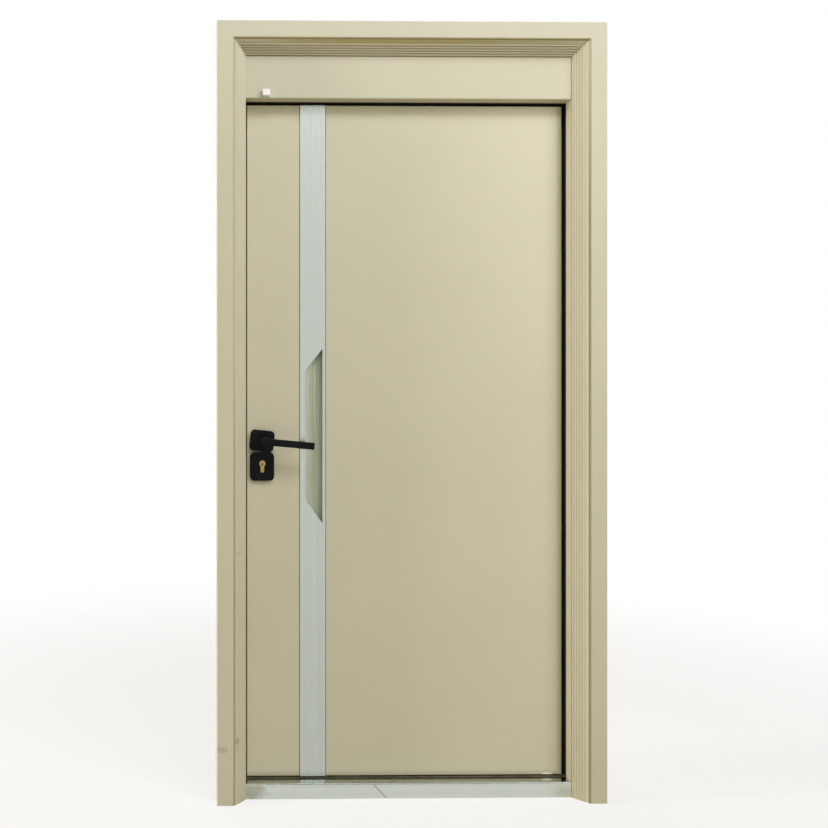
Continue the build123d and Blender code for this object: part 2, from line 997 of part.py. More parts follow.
def lock_stile():
    """The lock edge's channel, with a window for the lock case."""
    stile = edge_channel()
    stile -= span(
        (case_front - cut_overrun, case_front + stile_sheet + cut_overrun),
        (case_outside - lock_window_gap, case_inside + lock_window_gap),
        (lock_case_low - lock_window_gap, lock_case_high + lock_window_gap),
    )
    stile -= handle_holes(
        (step_inside - cut_overrun, back_inside + cut_overrun),
        lever_neck_radius,
        pocket_clearance,
        bolt_head_radius,
    )
    for place in faceplate_screw_planes():
        stile -= screw_seat(place)
    return stile


def hinge_stile():
    """The hinge edge's channel, which takes the hinge screws."""
    stile = mirrored(edge_channel())
    for place in leaf_screw_planes():
        stile -= screw_seat(place)
    return stile


def stiffener(x):
    """A vertical channel between the skins."""
    z_range = (leaf_bottom + leaf_sheet, leaf_top - leaf_sheet)
    low, high = z_range
    channel = span((x - stiffener_flange, x), (skin_inside, back_inside), z_range)
    channel -= span(
        (x - stiffener_flange - cut_overrun, x - stiffener_sheet),
        (skin_inside + stiffener_sheet, back_inside - stiffener_sheet),
        (low - cut_overrun, high + cut_overrun),
    )
    return channel


def insulation(x_range, z_range):
    """A board of mineral wool between the skins."""
    return span(x_range, (skin_inside, back_inside), z_range)


def wool_heights():
    """The lowest and highest place of a full-height board."""
    return (leaf_bottom + leaf_sheet + board_gap, leaf_top - leaf_sheet - board_gap)


def insulation_centre():
    """The board between the two stiffeners."""
    first, second = stiffener_places
    return insulation((first, second - stiffener_flange - board_gap), wool_heights())


def insulation_hinge_side():
    """The board between the second stiffener and the hinge stile."""
    return insulation((stiffener_places[1], stile_end - board_gap), wool_heights())


def insulation_lock_side():
    """The two boards above and below the lock."""
    low, high = wool_heights()
    x_range = (
        case_front + stile_flange + board_gap,
        strip_left - strip_gap - leaf_sheet - board_gap,
    )
    lower = insulation(x_range, (low, lock_case_low - lock_board_gap))
    upper = insulation(x_range, (lock_case_high + lock_board_gap, high))
    return gather([lower, upper])


def decor_strip():
    """The stainless strip: a shallow channel set into the leaf, cut out round the pull pocket."""
    z_range = (leaf_bottom + strip_end_gap, leaf_top - strip_end_gap)
    low, high = z_range
    strip = span((strip_left, strip_right), (strip_face, channel_floor), z_range)
    strip -= span(
        (strip_left + strip_sheet, strip_right - strip_sheet),
        (strip_face + strip_sheet, channel_floor + cut_overrun),
        (low - cut_overrun, high + cut_overrun),
    )
    return strip - prism_y(
        pocket_outline(pocket_sheet), (strip_face - cut_overrun, strip_face + strip_sheet + cut_overrun)
    )


def pocket_section(grow, front):
    """The pocket's section: a ramp from the left, a flat floor and a square right wall."""
    return polygon(
        [
            (pocket_left - grow, front),
            (pocket_left - grow, strip_face + pocket_lead + grow),
            (pocket_left + pocket_ramp - grow, strip_face + pocket_depth + grow),
            (pocket_right + grow, strip_face + pocket_depth + grow),
            (pocket_right + grow, front),
        ]
    )


def pocket_body(grow, front):
    """The pocket's outer form, or its hollow."""
    ends = (pocket_long_low - pocket_depth, pocket_long_high + pocket_depth)
    back = strip_face + pocket_depth + grow
    return prism_y(pocket_outline(grow), (front, back)) & prism_z(pocket_section(grow, front), ends)


def pull_pocket():
    """The pressed tray behind the strip that the fingers pull on."""
    return pocket_body(pocket_sheet, strip_face) - pocket_body(0, strip_face - cut_overrun)


def rose_blank(width, height, corner, tilt, centre, face, direction):
    """A rounded plate on one face of the leaf, softened round its front."""
    outer = face + direction * rose_thickness
    plate = prism_y(RectangleRounded(width, height, corner), sorted((face, outer)))
    front = plate.edges().group_by(Axis.Y)[0 if direction < 0 else -1]
    plate = fillet(front, rose_edge)
    return Pos(spindle_x, 0, centre) * Rot(0, tilt, 0) * plate


def bolt_pocket(x, z, face, direction):
    """A through bolt's hole in a rose: blind from behind outside, counterbored inside."""
    if direction < 0:
        return rod_y(bolt_radius + screw_fit, x, (face - bolt_reach, face + cut_overrun), z)
    outer = face + rose_thickness
    seat = outer - bolt_head_height - bolt_head_gap
    hole = rod_y(bolt_radius + bolt_clearance, x, (face - cut_overrun, outer), z)
    return hole + rod_y(bolt_head_radius + bolt_clearance, x, (seat, outer + cut_overrun), z)


def rose(face, direction):
    """The upper plate, round the lever's neck."""
    plate = rose_blank(rose_width, rose_height, rose_corner, rose_tilt, spindle_height, face, direction)
    through = (face - rose_thickness - cut_overrun, face + rose_thickness + cut_overrun)
    plate -= rod_y(lever_neck_radius + lever_neck_clearance, spindle_x, through, spindle_height)
    for x, z in rose_bolt_points():
        plate -= bolt_pocket(x, z, face, direction)
    return plate


def escutcheon(face, direction):
    """The lower plate, round the cylinder."""
    plate = rose_blank(
        rose_width, escutcheon_height, escutcheon_corner, 0, escutcheon_centre, face, direction
    )
    through = (face - rose_thickness - cut_overrun, face + rose_thickness + cut_overrun)
    plate -= prism_y(cylinder_outline(cylinder_clearance), through)
    for x, z in escutcheon_bolt_points():
        plate -= bolt_pocket(x, z, face, direction)
    return plate


def through_bolts():
    """The bolts from the inner plates through the lock into the outer plates."""
    tip = leaf_face - bolt_reach
    seat = leaf_back + rose_thickness - bolt_head_height - bolt_head_gap
    bolts = []
    for x, z in bolt_points():
        bolt = rod_y(bolt_radius, x, (tip, seat + bolt_head_height), z)
        bolts.append(bolt + rod_y(bolt_head_radius, x, (seat, seat + bolt_head_height), z))
    return gather(bolts)


def lever_bar():
    """The lever's bar in X and Z about the spindle, before it droops."""
    half = lever_bar_height / 2
    bar = polygon(
        [
            (0, lever_root_radius),
            (lever_taper, half),
            (lever_length, half),
            (lever_length, -half),
            (lever_taper, -half),
            (0, -lever_root_radius),
        ]
    )
    bar = fillet(bar.vertices().group_by(Axis.X)[-1], lever_tip_radius)
    return bar + Circle(lever_root_radius)


def lever(face, direction):
    """A lever handle: bar, neck and the square socket for the spindle."""
    outer = face + direction * lever_standoff
    bar_back = outer - direction * lever_bar_thickness
    entry = face + direction * (rose_thickness - lever_neck_entry)
    bar = prism_y(lever_bar(), sorted((bar_back, outer)))
    faces = bar.edges().group_by(Axis.Y)
    bar = fillet(faces[0] + faces[-1], lever_edge_radius)
    neck_end = bar_back + direction * lever_edge_radius
    neck = rod_y(lever_neck_radius, 0, sorted((neck_end, entry)), 0)
    part = Pos(spindle_x, 0, spindle_height) * Rot(0, lever_droop, 0) * (bar + neck)
    side = spindle_side / 2 + spindle_clearance
    return part - span(
        (spindle_x - side, spindle_x + side),
        sorted((entry - direction * cut_overrun, face + direction * spindle_grip)),
        (spindle_height - side, spindle_height + side),
    )


def spindle():
    """The square bar through both levers and the lock's hub."""
    half = spindle_side / 2
    return span(
        (spindle_x - half, spindle_x + half),
        (leaf_face - spindle_grip, leaf_back + spindle_grip),
        (spindle_height - half, spindle_height + half),
    )


def lock_case():
    """The lock's box: back wall, four sides and the carriage's guide stud, open towards the cover."""
    box = span(
        (case_front, case_back),
        (case_outside, case_inside - lock_sheet),
        (lock_case_low, lock_case_high),
    )
    box -= span(
        (case_front - cut_overrun, case_back - lock_sheet),
        (case_outside + lock_sheet, case_inside),
        (lock_case_low + lock_sheet, lock_case_high - lock_sheet),
    )
    box += rod_y(
        guide_radius,
        spindle_x + guide_setback,
        (case_outside, case_inside - lock_sheet),
        cylinder_height + guide_rise,
    )
    box -= handle_holes(
        (case_outside - cut_overrun, case_outside + lock_sheet + cut_overrun),
        hub_journal_radius + hub_fit,
        cylinder_clearance,
        bolt_radius + bolt_clearance,
    )
    return box - rod_x(
        latch_rod_radius + latch_fit,
        (case_back - lock_sheet - cut_overrun, case_back + cut_overrun),
        lock_depth,
        latch_z,
    )


def lock_cover():
    """The plate that closes the lock's box."""
    plate = span(
        (case_front, case_back),
        (case_inside - lock_sheet, case_inside),
        (lock_case_low, lock_case_high),
    )
    return plate - handle_holes(
        (case_inside - lock_sheet - cut_overrun, case_inside + cut_overrun),
        hub_journal_radius + hub_fit,
        cylinder_clearance,
        bolt_radius + bolt_clearance,
    )


def faceplate_screw_planes():
    """Where the faceplate's screws lie, in the leaf's edge."""
    x = lock_edge - screw_fit
    return [
        Plane(origin=(x, lock_depth, z), x_dir=(0, 1, 0), z_dir=(-1, 0, 0)) for z in strike_screw_heights()
    ]


def cylinder_screw_plane():
    """Where the cylinder's fixing screw lies, in the faceplate."""
    return Plane(
        origin=(lock_edge - screw_fit, lock_depth, cylinder_height - cylinder_screw_drop),
        x_dir=(0, 1, 0),
        z_dir=(-1, 0, 0),
    )


def lock_faceplate():
    """The lock's plate, flush in the leaf's edge, with the bolts' openings."""
    plate = faceplate_cut(0) & span(
        (lock_edge, case_front), (leaf_step, leaf_back), (faceplate_low, faceplate_high)
    )
    through = (lock_edge - cut_overrun, case_front + cut_overrun)
    half_width = latch_width / 2 + latch_fit
    half_height = latch_height / 2 + latch_fit
    plate -= span(
        through,
        (lock_depth - half_width, lock_depth + half_width),
        (latch_z - half_height, latch_z + half_height),
    )
    for rise in deadbolt_rises:
        plate -= rod_x(deadbolt_radius + deadbolt_fit, through, lock_depth, cylinder_height + rise)
    for place in faceplate_screw_planes() + [cylinder_screw_plane()]:
        plate -= screw_seat(place)
    return plate


def faceplate_screws():
    """The two screws that hold the faceplate."""
    return gather([countersunk_screw(place) for place in faceplate_screw_planes()])


def cylinder_screw():
    """The long screw from the faceplate into the cylinder's bridge."""
    height = cylinder_height - cylinder_screw_drop
    shank = rod_x(screw_radius, (lock_edge, spindle_x + cylinder_body_width / 2), lock_depth, height)
    return countersunk_screw(cylinder_screw_plane()) + shank


def lock_hub():
    """The follower on the spindle: a disc between two journals, with the latch's arm."""
    disc_range = (case_outside + lock_sheet + hub_side_gap, case_inside - lock_sheet - hub_side_gap)
    hub = rod_y(hub_radius, spindle_x, disc_range, spindle_height)
    hub += rod_y(hub_journal_radius, spindle_x, (case_outside, case_inside), spindle_height)
    tip_z = spindle_height + latch_arm * math.cos(math.radians(latch_arm_lean))
    arm_half = latch_tail_width / 2
    arm_range = (lock_depth - arm_half, lock_depth + arm_half)
    arm = span((-latch_arm_width / 2, latch_arm_width / 2), arm_range, (0, latch_arm))
    hub += Pos(spindle_x, 0, spindle_height) * Rot(0, -latch_arm_lean, 0) * arm
    hub += rod_y(latch_arm_tip, arm_rest_x, arm_range, tip_z)
    side = spindle_side / 2 + spindle_clearance
    return hub - span(
        (spindle_x - side, spindle_x + side),
        (case_outside - cut_overrun, case_inside + cut_overrun),
        (spindle_height - side, spindle_height + side),
    )


def latch_bolt():
    """The sprung latch: bevelled bolt, tail, the lug that the hub's arm pulls, and its spring rod."""
    tip = lock_edge - latch_throw
    body_end = lock_edge + latch_body
    half_width = latch_width / 2
    half_tail = latch_tail_width / 2
    bolt = span(
        (tip, body_end),
        (lock_depth - half_width, lock_depth + half_width),
        (latch_z - latch_height / 2, latch_z + latch_height / 2),
    )
    bolt -= prism_z(
        polygon(
            [
                (tip - cut_overrun, lock_depth - half_width - cut_overrun),
                (tip + latch_throw, lock_depth - half_width - cut_overrun),
                (tip + latch_throw, lock_depth - half_width),
                (tip, lock_depth - half_width + latch_bevel),
                (tip - cut_overrun, lock_depth - half_width + latch_bevel),
            ]
        ),
        (latch_z - latch_height, latch_z + latch_height),
    )
    tail_y = (lock_depth - half_tail, lock_depth + half_tail)
    bolt += span(
        (body_end, lug_front + latch_lug),
        tail_y,
        (latch_z - latch_tail_height / 2, latch_z + latch_tail_height / 2),
    )
    bolt += span((lug_front, lug_front + latch_lug), tail_y, (spindle_height + latch_lug_low, latch_z))
    return bolt + rod_x(
        latch_rod_radius, (lug_front + latch_lug, case_back + latch_rod_end), lock_depth, latch_z
    )


def latch_spring():
    """The coil round the latch's rod, between its lug and the case's back."""
    start = lug_front + latch_lug + spring_wire_radius + spring_end_gap
    end = case_back - lock_sheet - spring_wire_radius - spring_end_gap
    length = end - start
    coil = Helix(pitch=length / spring_turns, height=length, radius=spring_radius)
    wire = sweep(Plane(coil @ 0, z_dir=coil % 0) * Circle(spring_wire_radius), path=coil)
    return Pos(start, lock_depth, latch_z) * Rot(0, 90, 0) * wire


def deadbolts():
    """The two round bolts, drawn back flush with the faceplate."""
    return gather(
        [
            rod_x(deadbolt_radius, (lock_edge, carriage_front), lock_depth, cylinder_height + rise)
            for rise in deadbolt_rises
        ]
    )


def bolt_carriage():
    """The plate behind the deadbolts, with the cam's notch and the slot of its guide stud."""
    half = carriage_thickness / 2
    y_range = (lock_depth - half, lock_depth + half)
    through = (lock_depth - carriage_thickness, lock_depth + carriage_thickness)
    low = cylinder_height + carriage_low_rise
    plate = span(
        (carriage_front, carriage_front + carriage_length),
        y_range,
        (low, cylinder_height + carriage_high_rise),
    )
    plate -= span(
        (spindle_x - notch_lead, spindle_x + notch_tail), through, (low - cut_overrun, low + notch_height)
    )
    slot = guide_radius + deadbolt_fit
    start = spindle_x + guide_setback
    rise = cylinder_height + guide_rise
    plate -= span((start, start + deadbolt_throw), through, (rise - slot, rise + slot))
    plate -= rod_y(slot, start, through, rise)
    return plate - rod_y(slot, start + deadbolt_throw, through, rise)


def cylinder_body():
    """The cylinder's housing, bored for the plugs and cut open for the cam."""
    body = prism_y(cylinder_outline(0), (cylinder_front, cylinder_back))
    through = (cylinder_front - cut_overrun, cylinder_back + cut_overrun)
    body -= rod_y(plug_radius + plug_clearance, spindle_x, through, cylinder_height)
    body -= span(
        (spindle_x - cam_reach, spindle_x + cam_reach),
        (cam_front, cam_back),
        (cylinder_height - cam_reach - cam_bridge_gap, cylinder_height + cam_reach),
    )
    return body - rod_x(
        screw_radius + screw_fit,
        (spindle_x - cylinder_body_width, spindle_x + cylinder_body_width),
        lock_depth,
        cylinder_height - cylinder_screw_drop,
    )


def outer_plug():
    """The plug that takes the key from outside."""
    plug = rod_y(plug_radius, spindle_x, (cylinder_front, cam_front + cam_side_gap), cylinder_height)
    half = keyway_width / 2
    return plug - span(
        (spindle_x - half, spindle_x + half),
        (cylinder_front - cut_overrun, cylinder_front + keyway_depth),
        (cylinder_height - plug_radius - cut_overrun, cylinder_height - plug_radius + keyway_height),
    )


def cylinder_cam():
    """The cam between the plugs, its tongue hanging down at rest."""
    y_range = (cam_front + cam_side_gap, cam_back - cam_side_gap)
    half = cam_width / 2
    tongue = span(
        (spindle_x - half, spindle_x + half),
        y_range,
        (cylinder_height - cam_reach, cylinder_height),
    )
    reach = rod_y(cam_reach, spindle_x, y_range, cylinder_height)
    return rod_y(cam_disc_radius, spindle_x, y_range, cylinder_height) + (tongue & reach)


def thumb_turn():
    """The inner plug with its turn."""
    neck_end = cylinder_back + turn_neck
    plug = rod_y(plug_radius, spindle_x, (cam_back - cam_side_gap, neck_end), cylinder_height)
    outline = Pos(spindle_x, cylinder_height) * SlotOverall(turn_height, turn_width, rotation=90)
    turn = prism_y(outline, (neck_end, neck_end + turn_depth))
    ends = turn.edges().group_by(Axis.Y)
    return plug + fillet(ends[0] + ends[-1], turn_edge)


def pieces():
    """Every node of the door by name."""
    parts = {
        "lock_jamb": lock_jamb(),
        "hinge_jamb": hinge_jamb(),
        "frame_head": frame_head(),
        "threshold": threshold(),
        "sill_base": sill_base(),
        "casing_lock_side": mirrored(casing_side()),
        "casing_hinge_side": casing_side(),
        "casing_head": casing_head(),
        "seal_lock_side": mirrored(seal_upright()),
        "seal_hinge_side": seal_upright(),
        "seal_head": seal_head(),
        "seal_sill": seal_sill(),
        "strike_plate": strike_plate(),
        "strike_screws": strike_screws(),
        "contact_block": contact_block(),
        "hinge_pins": hinge_pins(),
        "hinge_washers": hinge_washers(),
        "hinge_frame_screws": hinge_frame_screws(),
        "hinge_leaf_screws": hinge_leaf_screws(),
        "outer_skin": outer_skin(),
        "inner_skin": inner_skin(),
        "lock_stile": lock_stile(),
        "hinge_stile": hinge_stile(),
        "insulation_centre": insulation_centre(),
        "insulation_hinge_side": insulation_hinge_side(),
        "insulation_lock_side": insulation_lock_side(),
        "decor_strip": decor_strip(),
        "pull_pocket": pull_pocket(),
        "outer_rose": rose(leaf_face, -1),
        "inner_rose": rose(leaf_back, 1),
        "outer_escutcheon": escutcheon(leaf_face, -1),
        "inner_escutcheon": escutcheon(leaf_back, 1),
        "through_bolts": through_bolts(),
        "outer_lever": lever(leaf_face, -1),
        "inner_lever": lever(leaf_back, 1),
        "spindle": spindle(),
        "lock_case": lock_case(),
        "lock_cover": lock_cover(),
        "lock_faceplate": lock_faceplate(),
        "faceplate_screws": faceplate_screws(),
        "cylinder_screw": cylinder_screw(),
        "lock_hub": lock_hub(),
        "latch_bolt": latch_bolt(),
        "latch_spring": latch_spring(),
        "deadbolts": deadbolts(),
        "bolt_carriage": bolt_carriage(),
        "cylinder_body": cylinder_body(),
        "outer_plug": outer_plug(),
        "cylinder_cam": cylinder_cam(),
        "thumb_turn": thumb_turn(),
    }
    for number, x in enumerate(stiffener_places, start=1):
        parts[f"stiffener_{number}"] = stiffener(x)
    for number, height in enumerate(hinge_heights, start=1):
        parts[f"hinge_frame_half_{number}"] = hinge_frame_half(height)
        parts[f"hinge_leaf_half_{number}"] = hinge_leaf_half(height)
    return parts


def main():
    """Writes every node to its own file."""
    os.makedirs("parts", exist_ok=True)
    for name, part in pieces().items():
        export_step(part, f"parts/{name}.step")


if __name__ == "__main__":
    main()
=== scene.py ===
"""Looks of a steel entrance door with its frame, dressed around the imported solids.

Lengths are in metres. X runs to the right seen from outside, Y inwards and Z up.
"""

import logging
import math
from collections.abc import Iterable
from dataclasses import dataclass
from enum import Enum

import bmesh
import bpy
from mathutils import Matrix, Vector


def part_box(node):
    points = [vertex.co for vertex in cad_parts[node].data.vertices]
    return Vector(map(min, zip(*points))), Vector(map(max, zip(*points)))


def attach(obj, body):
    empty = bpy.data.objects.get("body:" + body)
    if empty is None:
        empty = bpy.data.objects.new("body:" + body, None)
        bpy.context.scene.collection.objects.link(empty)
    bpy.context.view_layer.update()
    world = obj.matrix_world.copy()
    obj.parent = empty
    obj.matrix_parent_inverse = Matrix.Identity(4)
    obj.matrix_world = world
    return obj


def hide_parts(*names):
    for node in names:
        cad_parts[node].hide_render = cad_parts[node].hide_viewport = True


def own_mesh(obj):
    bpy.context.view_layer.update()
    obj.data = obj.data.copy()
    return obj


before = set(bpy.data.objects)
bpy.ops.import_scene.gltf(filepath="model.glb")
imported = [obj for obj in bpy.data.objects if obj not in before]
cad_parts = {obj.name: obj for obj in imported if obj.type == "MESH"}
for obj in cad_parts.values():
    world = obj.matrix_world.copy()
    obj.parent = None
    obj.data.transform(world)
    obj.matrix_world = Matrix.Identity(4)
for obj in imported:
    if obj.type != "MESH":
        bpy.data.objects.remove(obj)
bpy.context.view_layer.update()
LOG = logging.getLogger("steel_door")
MM = 0.001
HALF = 0.5
QUARTER_TURN = math.radians(90.0)
MERGE_DISTANCE = 0.01 * MM

Output = bpy.types.NodeSocket
Pair = tuple[float, float]
Triple = tuple[float, float, float]
Colour = Triple

WHITE: Colour = (1.0, 1.0, 1.0)
FADE_OUT: Pair = (1.0, 0.0)
CASING_LOW, CASING_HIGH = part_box("casing_head")
HALF_WIDTH, HEIGHT = CASING_HIGH[0], CASING_HIGH[2]
CASING_FACE, CASING_BACK = CASING_LOW[1], CASING_HIGH[1]
LEAF_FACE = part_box("outer_skin")[0][1]


def opaque(colour: Colour) -> tuple[float, float, float, float]:
    """A colour with full alpha."""
    return (*colour, 1.0)


class NodeBoard:
    """A node tree with short ways to add and join nodes."""

    # The mix node's colour sockets go by index, because its sockets share their names
    MIX_FACTOR, MIX_FIRST, MIX_SECOND, MIX_RESULT = 0, 6, 7, 2
    RANGE_INPUTS = ("Value", "From Min", "From Max", "To Min", "To Max")

    def __init__(self, tree: bpy.types.NodeTree) -> None:
        """Keeps the tree and empties it."""
        self.tree = tree
        tree.nodes.clear()

    def feed(self, socket: bpy.types.NodeSocket, value: object) -> None:
        """Links a socket to another socket, or sets its plain value."""
        if isinstance(value, bpy.types.NodeSocket):
            self.tree.links.new(value, socket)
        else:
            socket.default_value = value

    def add(self, kind: str, inputs: dict | None = None, **settings: object) -> bpy.types.Node:
        """Adds a node.

        Args:
            kind: the node's type name.
            inputs: values or sockets by input name or index.
            settings: the node's own properties.

        Returns:
            The new node.
        """
        node = self.tree.nodes.new(kind)
        for name, value in settings.items():
            setattr(node, name, value)
        for key, value in (inputs or {}).items():
            self.feed(node.inputs[key], value)
        return node

    def math(self, operation: str, *values: object) -> Output:
        """Adds a maths node and returns its result."""
        return self.add("ShaderNodeMath", dict(enumerate(values)), operation=operation).outputs[0]

    def vector(self, operation: str, *values: object, output: str = "Vector") -> Output:
        """Adds a vector maths node and returns its vector, or another output."""
        node = self.add("ShaderNodeVectorMath", dict(enumerate(values)), operation=operation)
        return node.outputs[output]

    def measure(self, operation: str, *values: object) -> Output:
        """Adds a vector maths node and returns its number."""
        return self.vector(operation, *values, output="Value")

    def noise(self, place: object, scale: object, detail: float = 2.0) -> Output:
        """Adds a noise texture and returns its value."""
        return self.add("ShaderNodeTexNoise", {"Vector": place, "Scale": scale, "Detail": detail}).outputs[0]

    def blend(self, factor: object, first: object, second: object) -> Output:
        """Mixes two colours and returns the result."""
        inputs = {self.MIX_FACTOR: factor, self.MIX_FIRST: first, self.MIX_SECOND: second}
        return self.add("ShaderNodeMix", inputs, data_type="RGBA").outputs[self.MIX_RESULT]

    def remap(self, value: object, source: tuple, target: tuple = (0.0, 1.0)) -> Output:
        """Maps a value smoothly from one range to another."""
        inputs = dict(zip(self.RANGE_INPUTS, (value, *source, *target)))
        return self.add("ShaderNodeMapRange", inputs, interpolation_type="SMOOTHSTEP").outputs[0]

    def product(self, *values: object) -> Output:
        """Multiplies two or more values, one after the other."""
        result, *others = values
        for value in others:
            result = self.math("MULTIPLY", result, value)
        return result

    def group(self, tree: bpy.types.NodeTree, inputs: dict) -> bpy.types.Node:
        """Places a shared group with its own values."""
        return self.add("ShaderNodeGroup", inputs, node_tree=tree)


class Socket(Enum):
    """The kinds of socket that the groups and trees have."""

    VECTOR = "NodeSocketVector"
    FLOAT = "NodeSocketFloat"
    WHOLE = "NodeSocketInt"
    GEOMETRY = "NodeSocketGeometry"
    MATERIAL = "NodeSocketMaterial"


def open_group(
    name: str, kind: str, inputs: dict[str, Socket], outputs: dict[str, Socket]
) -> tuple[NodeBoard, bpy.types.Node, bpy.types.Node]:
    """Opens a new node group.

    Args:
        name: the group's name.
        kind: the type of node tree.
        inputs: socket kinds by input name.
        outputs: socket kinds by output name.

    Returns:
        The board, the group's input node and its output node.
    """
    tree = bpy.data.node_groups.new(name, kind)
    for in_out, sockets in (("INPUT", inputs), ("OUTPUT", outputs)):
        for label, socket in sockets.items():
            tree.interface.new_socket(label, in_out=in_out, socket_type=socket.value)
    board = NodeBoard(tree)
    return board, board.add("NodeGroupInput"), board.add("NodeGroupOutput")


class SharedEffects:
    """The shader groups that several finishes place with their own values."""

    TONE_DETAIL = 3.0
    TONE_RANGE: Pair = (0.3, 0.7)
    FINE_SCALE, FINE_DETAIL = 1.0, 3.0
    BROAD_SCALE = 0.13
    STREAK_RANGE: Pair = (0.35, 0.65)
    SPOT_DETAIL = 4.0

    def __init__(self) -> None:
        """Builds every group once."""
        self.grain = self.build_grain()
        self.hairlines = self.build_hairlines()
        self.mark = self.build_mark()

    def build_grain(self) -> bpy.types.NodeTree:
        """Fine grain for the bump and a slow drift of tone, for sprayed and moulded surfaces.

        Returns:
            The group's node tree.
        """
        board, given, result = open_group(
            "sprayed_grain",
            "ShaderNodeTree",
            {"Vector": Socket.VECTOR, "Grain": Socket.FLOAT, "Drift": Socket.FLOAT},
            {"Height": Socket.FLOAT, "Tone": Socket.FLOAT},
        )
        place, grain, drift = given.outputs[:3]
        slow = board.noise(place, drift, self.TONE_DETAIL)
        board.feed(result.inputs["Height"], board.noise(place, grain))
        board.feed(result.inputs["Tone"], board.remap(slow, self.TONE_RANGE))
        return board.tree

    def build_hairlines(self) -> bpy.types.NodeTree:
        """Drawn lines: noise stretched along one direction, in two widths.

        Returns:
            The group's node tree.
        """
        board, given, result = open_group(
            "hairlines",
            "ShaderNodeTree",
            {"Vector": Socket.VECTOR, "Stretch": Socket.VECTOR},
            {"Height": Socket.FLOAT, "Streak": Socket.FLOAT},
        )
        drawn = board.vector("MULTIPLY", given.outputs["Vector"], given.outputs["Stretch"])
        fine = board.noise(drawn, self.FINE_SCALE, self.FINE_DETAIL)
        broad = board.noise(drawn, self.BROAD_SCALE)
        both = board.math("MULTIPLY", board.math("ADD", fine, broad), HALF)
        board.feed(result.inputs["Height"], fine)
        board.feed(result.inputs["Streak"], board.remap(both, self.STREAK_RANGE))
        return board.tree

    def build_mark(self) -> bpy.types.NodeTree:
        """A ragged spot at one place, for dirt, chips in the paint, tinted patches and painted shade.

        Returns:
            The group's node tree.
        """
        board, given, result = open_group(
            "ragged_mark",
            "ShaderNodeTree",
            {
                "Vector": Socket.VECTOR,
                "Centre": Socket.VECTOR,
                "Half Size": Socket.VECTOR,
                "Raggedness": Socket.FLOAT,
                "Grain": Socket.FLOAT,
                "Softness": Socket.FLOAT,
            },
            {"Mask": Socket.FLOAT},
        )
        place, centre, half_size, raggedness, grain, softness = given.outputs[:6]
        near = board.vector("DIVIDE", board.vector("SUBTRACT", place, centre), half_size)
        reach = board.measure("LENGTH", near)
        level = board.math("SUBTRACT", board.noise(place, grain, self.SPOT_DETAIL), HALF)
        ragged = board.math("ADD", reach, board.math("MULTIPLY", level, raggedness))
        start = board.math("SUBTRACT", 1.0, softness)
        board.feed(result.inputs["Mask"], board.remap(ragged, (start, 1.0), FADE_OUT))
        return board.tree


class WearAndPaintedLight:
    """Dirt, a scratch, a chip, painted shade or a painted highlight that lies over a finish's colour."""

    colour: Colour

    def mask(self, board: NodeBoard, effects: SharedEffects, place: object) -> Output:
        """How strongly the mark shows at each place, from zero to one."""
        raise NotImplementedError

    def lay(self, board: NodeBoard, effects: SharedEffects, place: object, under: object) -> Output:
        """Lays the mark over a colour.

        Args:
            board: the material's board.
            effects: the shared shader groups.
            place: the object coordinates.
            under: the colour that the mark lies on.

        Returns:
            The colour with the mark.
        """
        return board.blend(self.mask(board, effects, place), under, opaque(self.colour))


@dataclass(frozen=True)
class Mark(WearAndPaintedLight):
    """A spot of dirt, a chip in the paint, a tinted patch or a patch of painted shade."""

    centre: Triple
    half_size: Triple
    colour: Colour
    strength: float = 1.0
    raggedness: float = 1.4
    grain: float = 90.0
    softness: float = 0.6

    def mask(self, board: NodeBoard, effects: SharedEffects, place: object) -> Output:
        """The spot, with a ragged edge.

        Args:
            board: the material's board.
            effects: the shared shader groups.
            place: the object coordinates.

        Returns:
            How strongly the spot shows.
        """
        spot = board.group(
            effects.mark,
            {
                "Vector": place,
                "Centre": self.centre,
                "Half Size": self.half_size,
                "Raggedness": self.raggedness,
                "Grain": self.grain,
                "Softness": self.softness,
            },
        )
        return board.product(spot.outputs["Mask"], self.strength)


@dataclass(frozen=True)
class Scratch(WearAndPaintedLight):
    """A straight scratch on a face that looks along Y, from one point to another across and up.

    It keeps its full strength over the core of its width and runs out towards both ends.
    """

    start: Pair
    end: Pair
    half_width: float
    colour: Colour
    strength: float
    core_share: float = 0.5
    full_share: float = 0.8

    def mask(self, board: NodeBoard, effects: SharedEffects, place: object) -> Output:
        """The scratch's line.

        Args:
            board: the material's board.
            effects: the shared shader groups.
            place: the object coordinates.

        Returns:
            How strongly the scratch shows.
        """
        run, rise = (last - first for first, last in zip(self.start, self.end))
        length = math.hypot(run, rise)
        offset = board.vector("SUBTRACT", place, (self.start[0], 0.0, self.start[1]))
        along = board.measure("DOT_PRODUCT", offset, (run / length, 0.0, rise / length))
        aside = board.measure("DOT_PRODUCT", offset, (-rise / length, 0.0, run / length))
        reach = HALF * length
        middle = board.math("ABSOLUTE", board.math("SUBTRACT", along, reach))
        core = (self.core_share * self.half_width, self.half_width)
        return board.product(
            board.remap(board.math("ABSOLUTE", aside), core, FADE_OUT),
            board.remap(middle, (self.full_share * reach, reach), FADE_OUT),
            self.strength,
        )


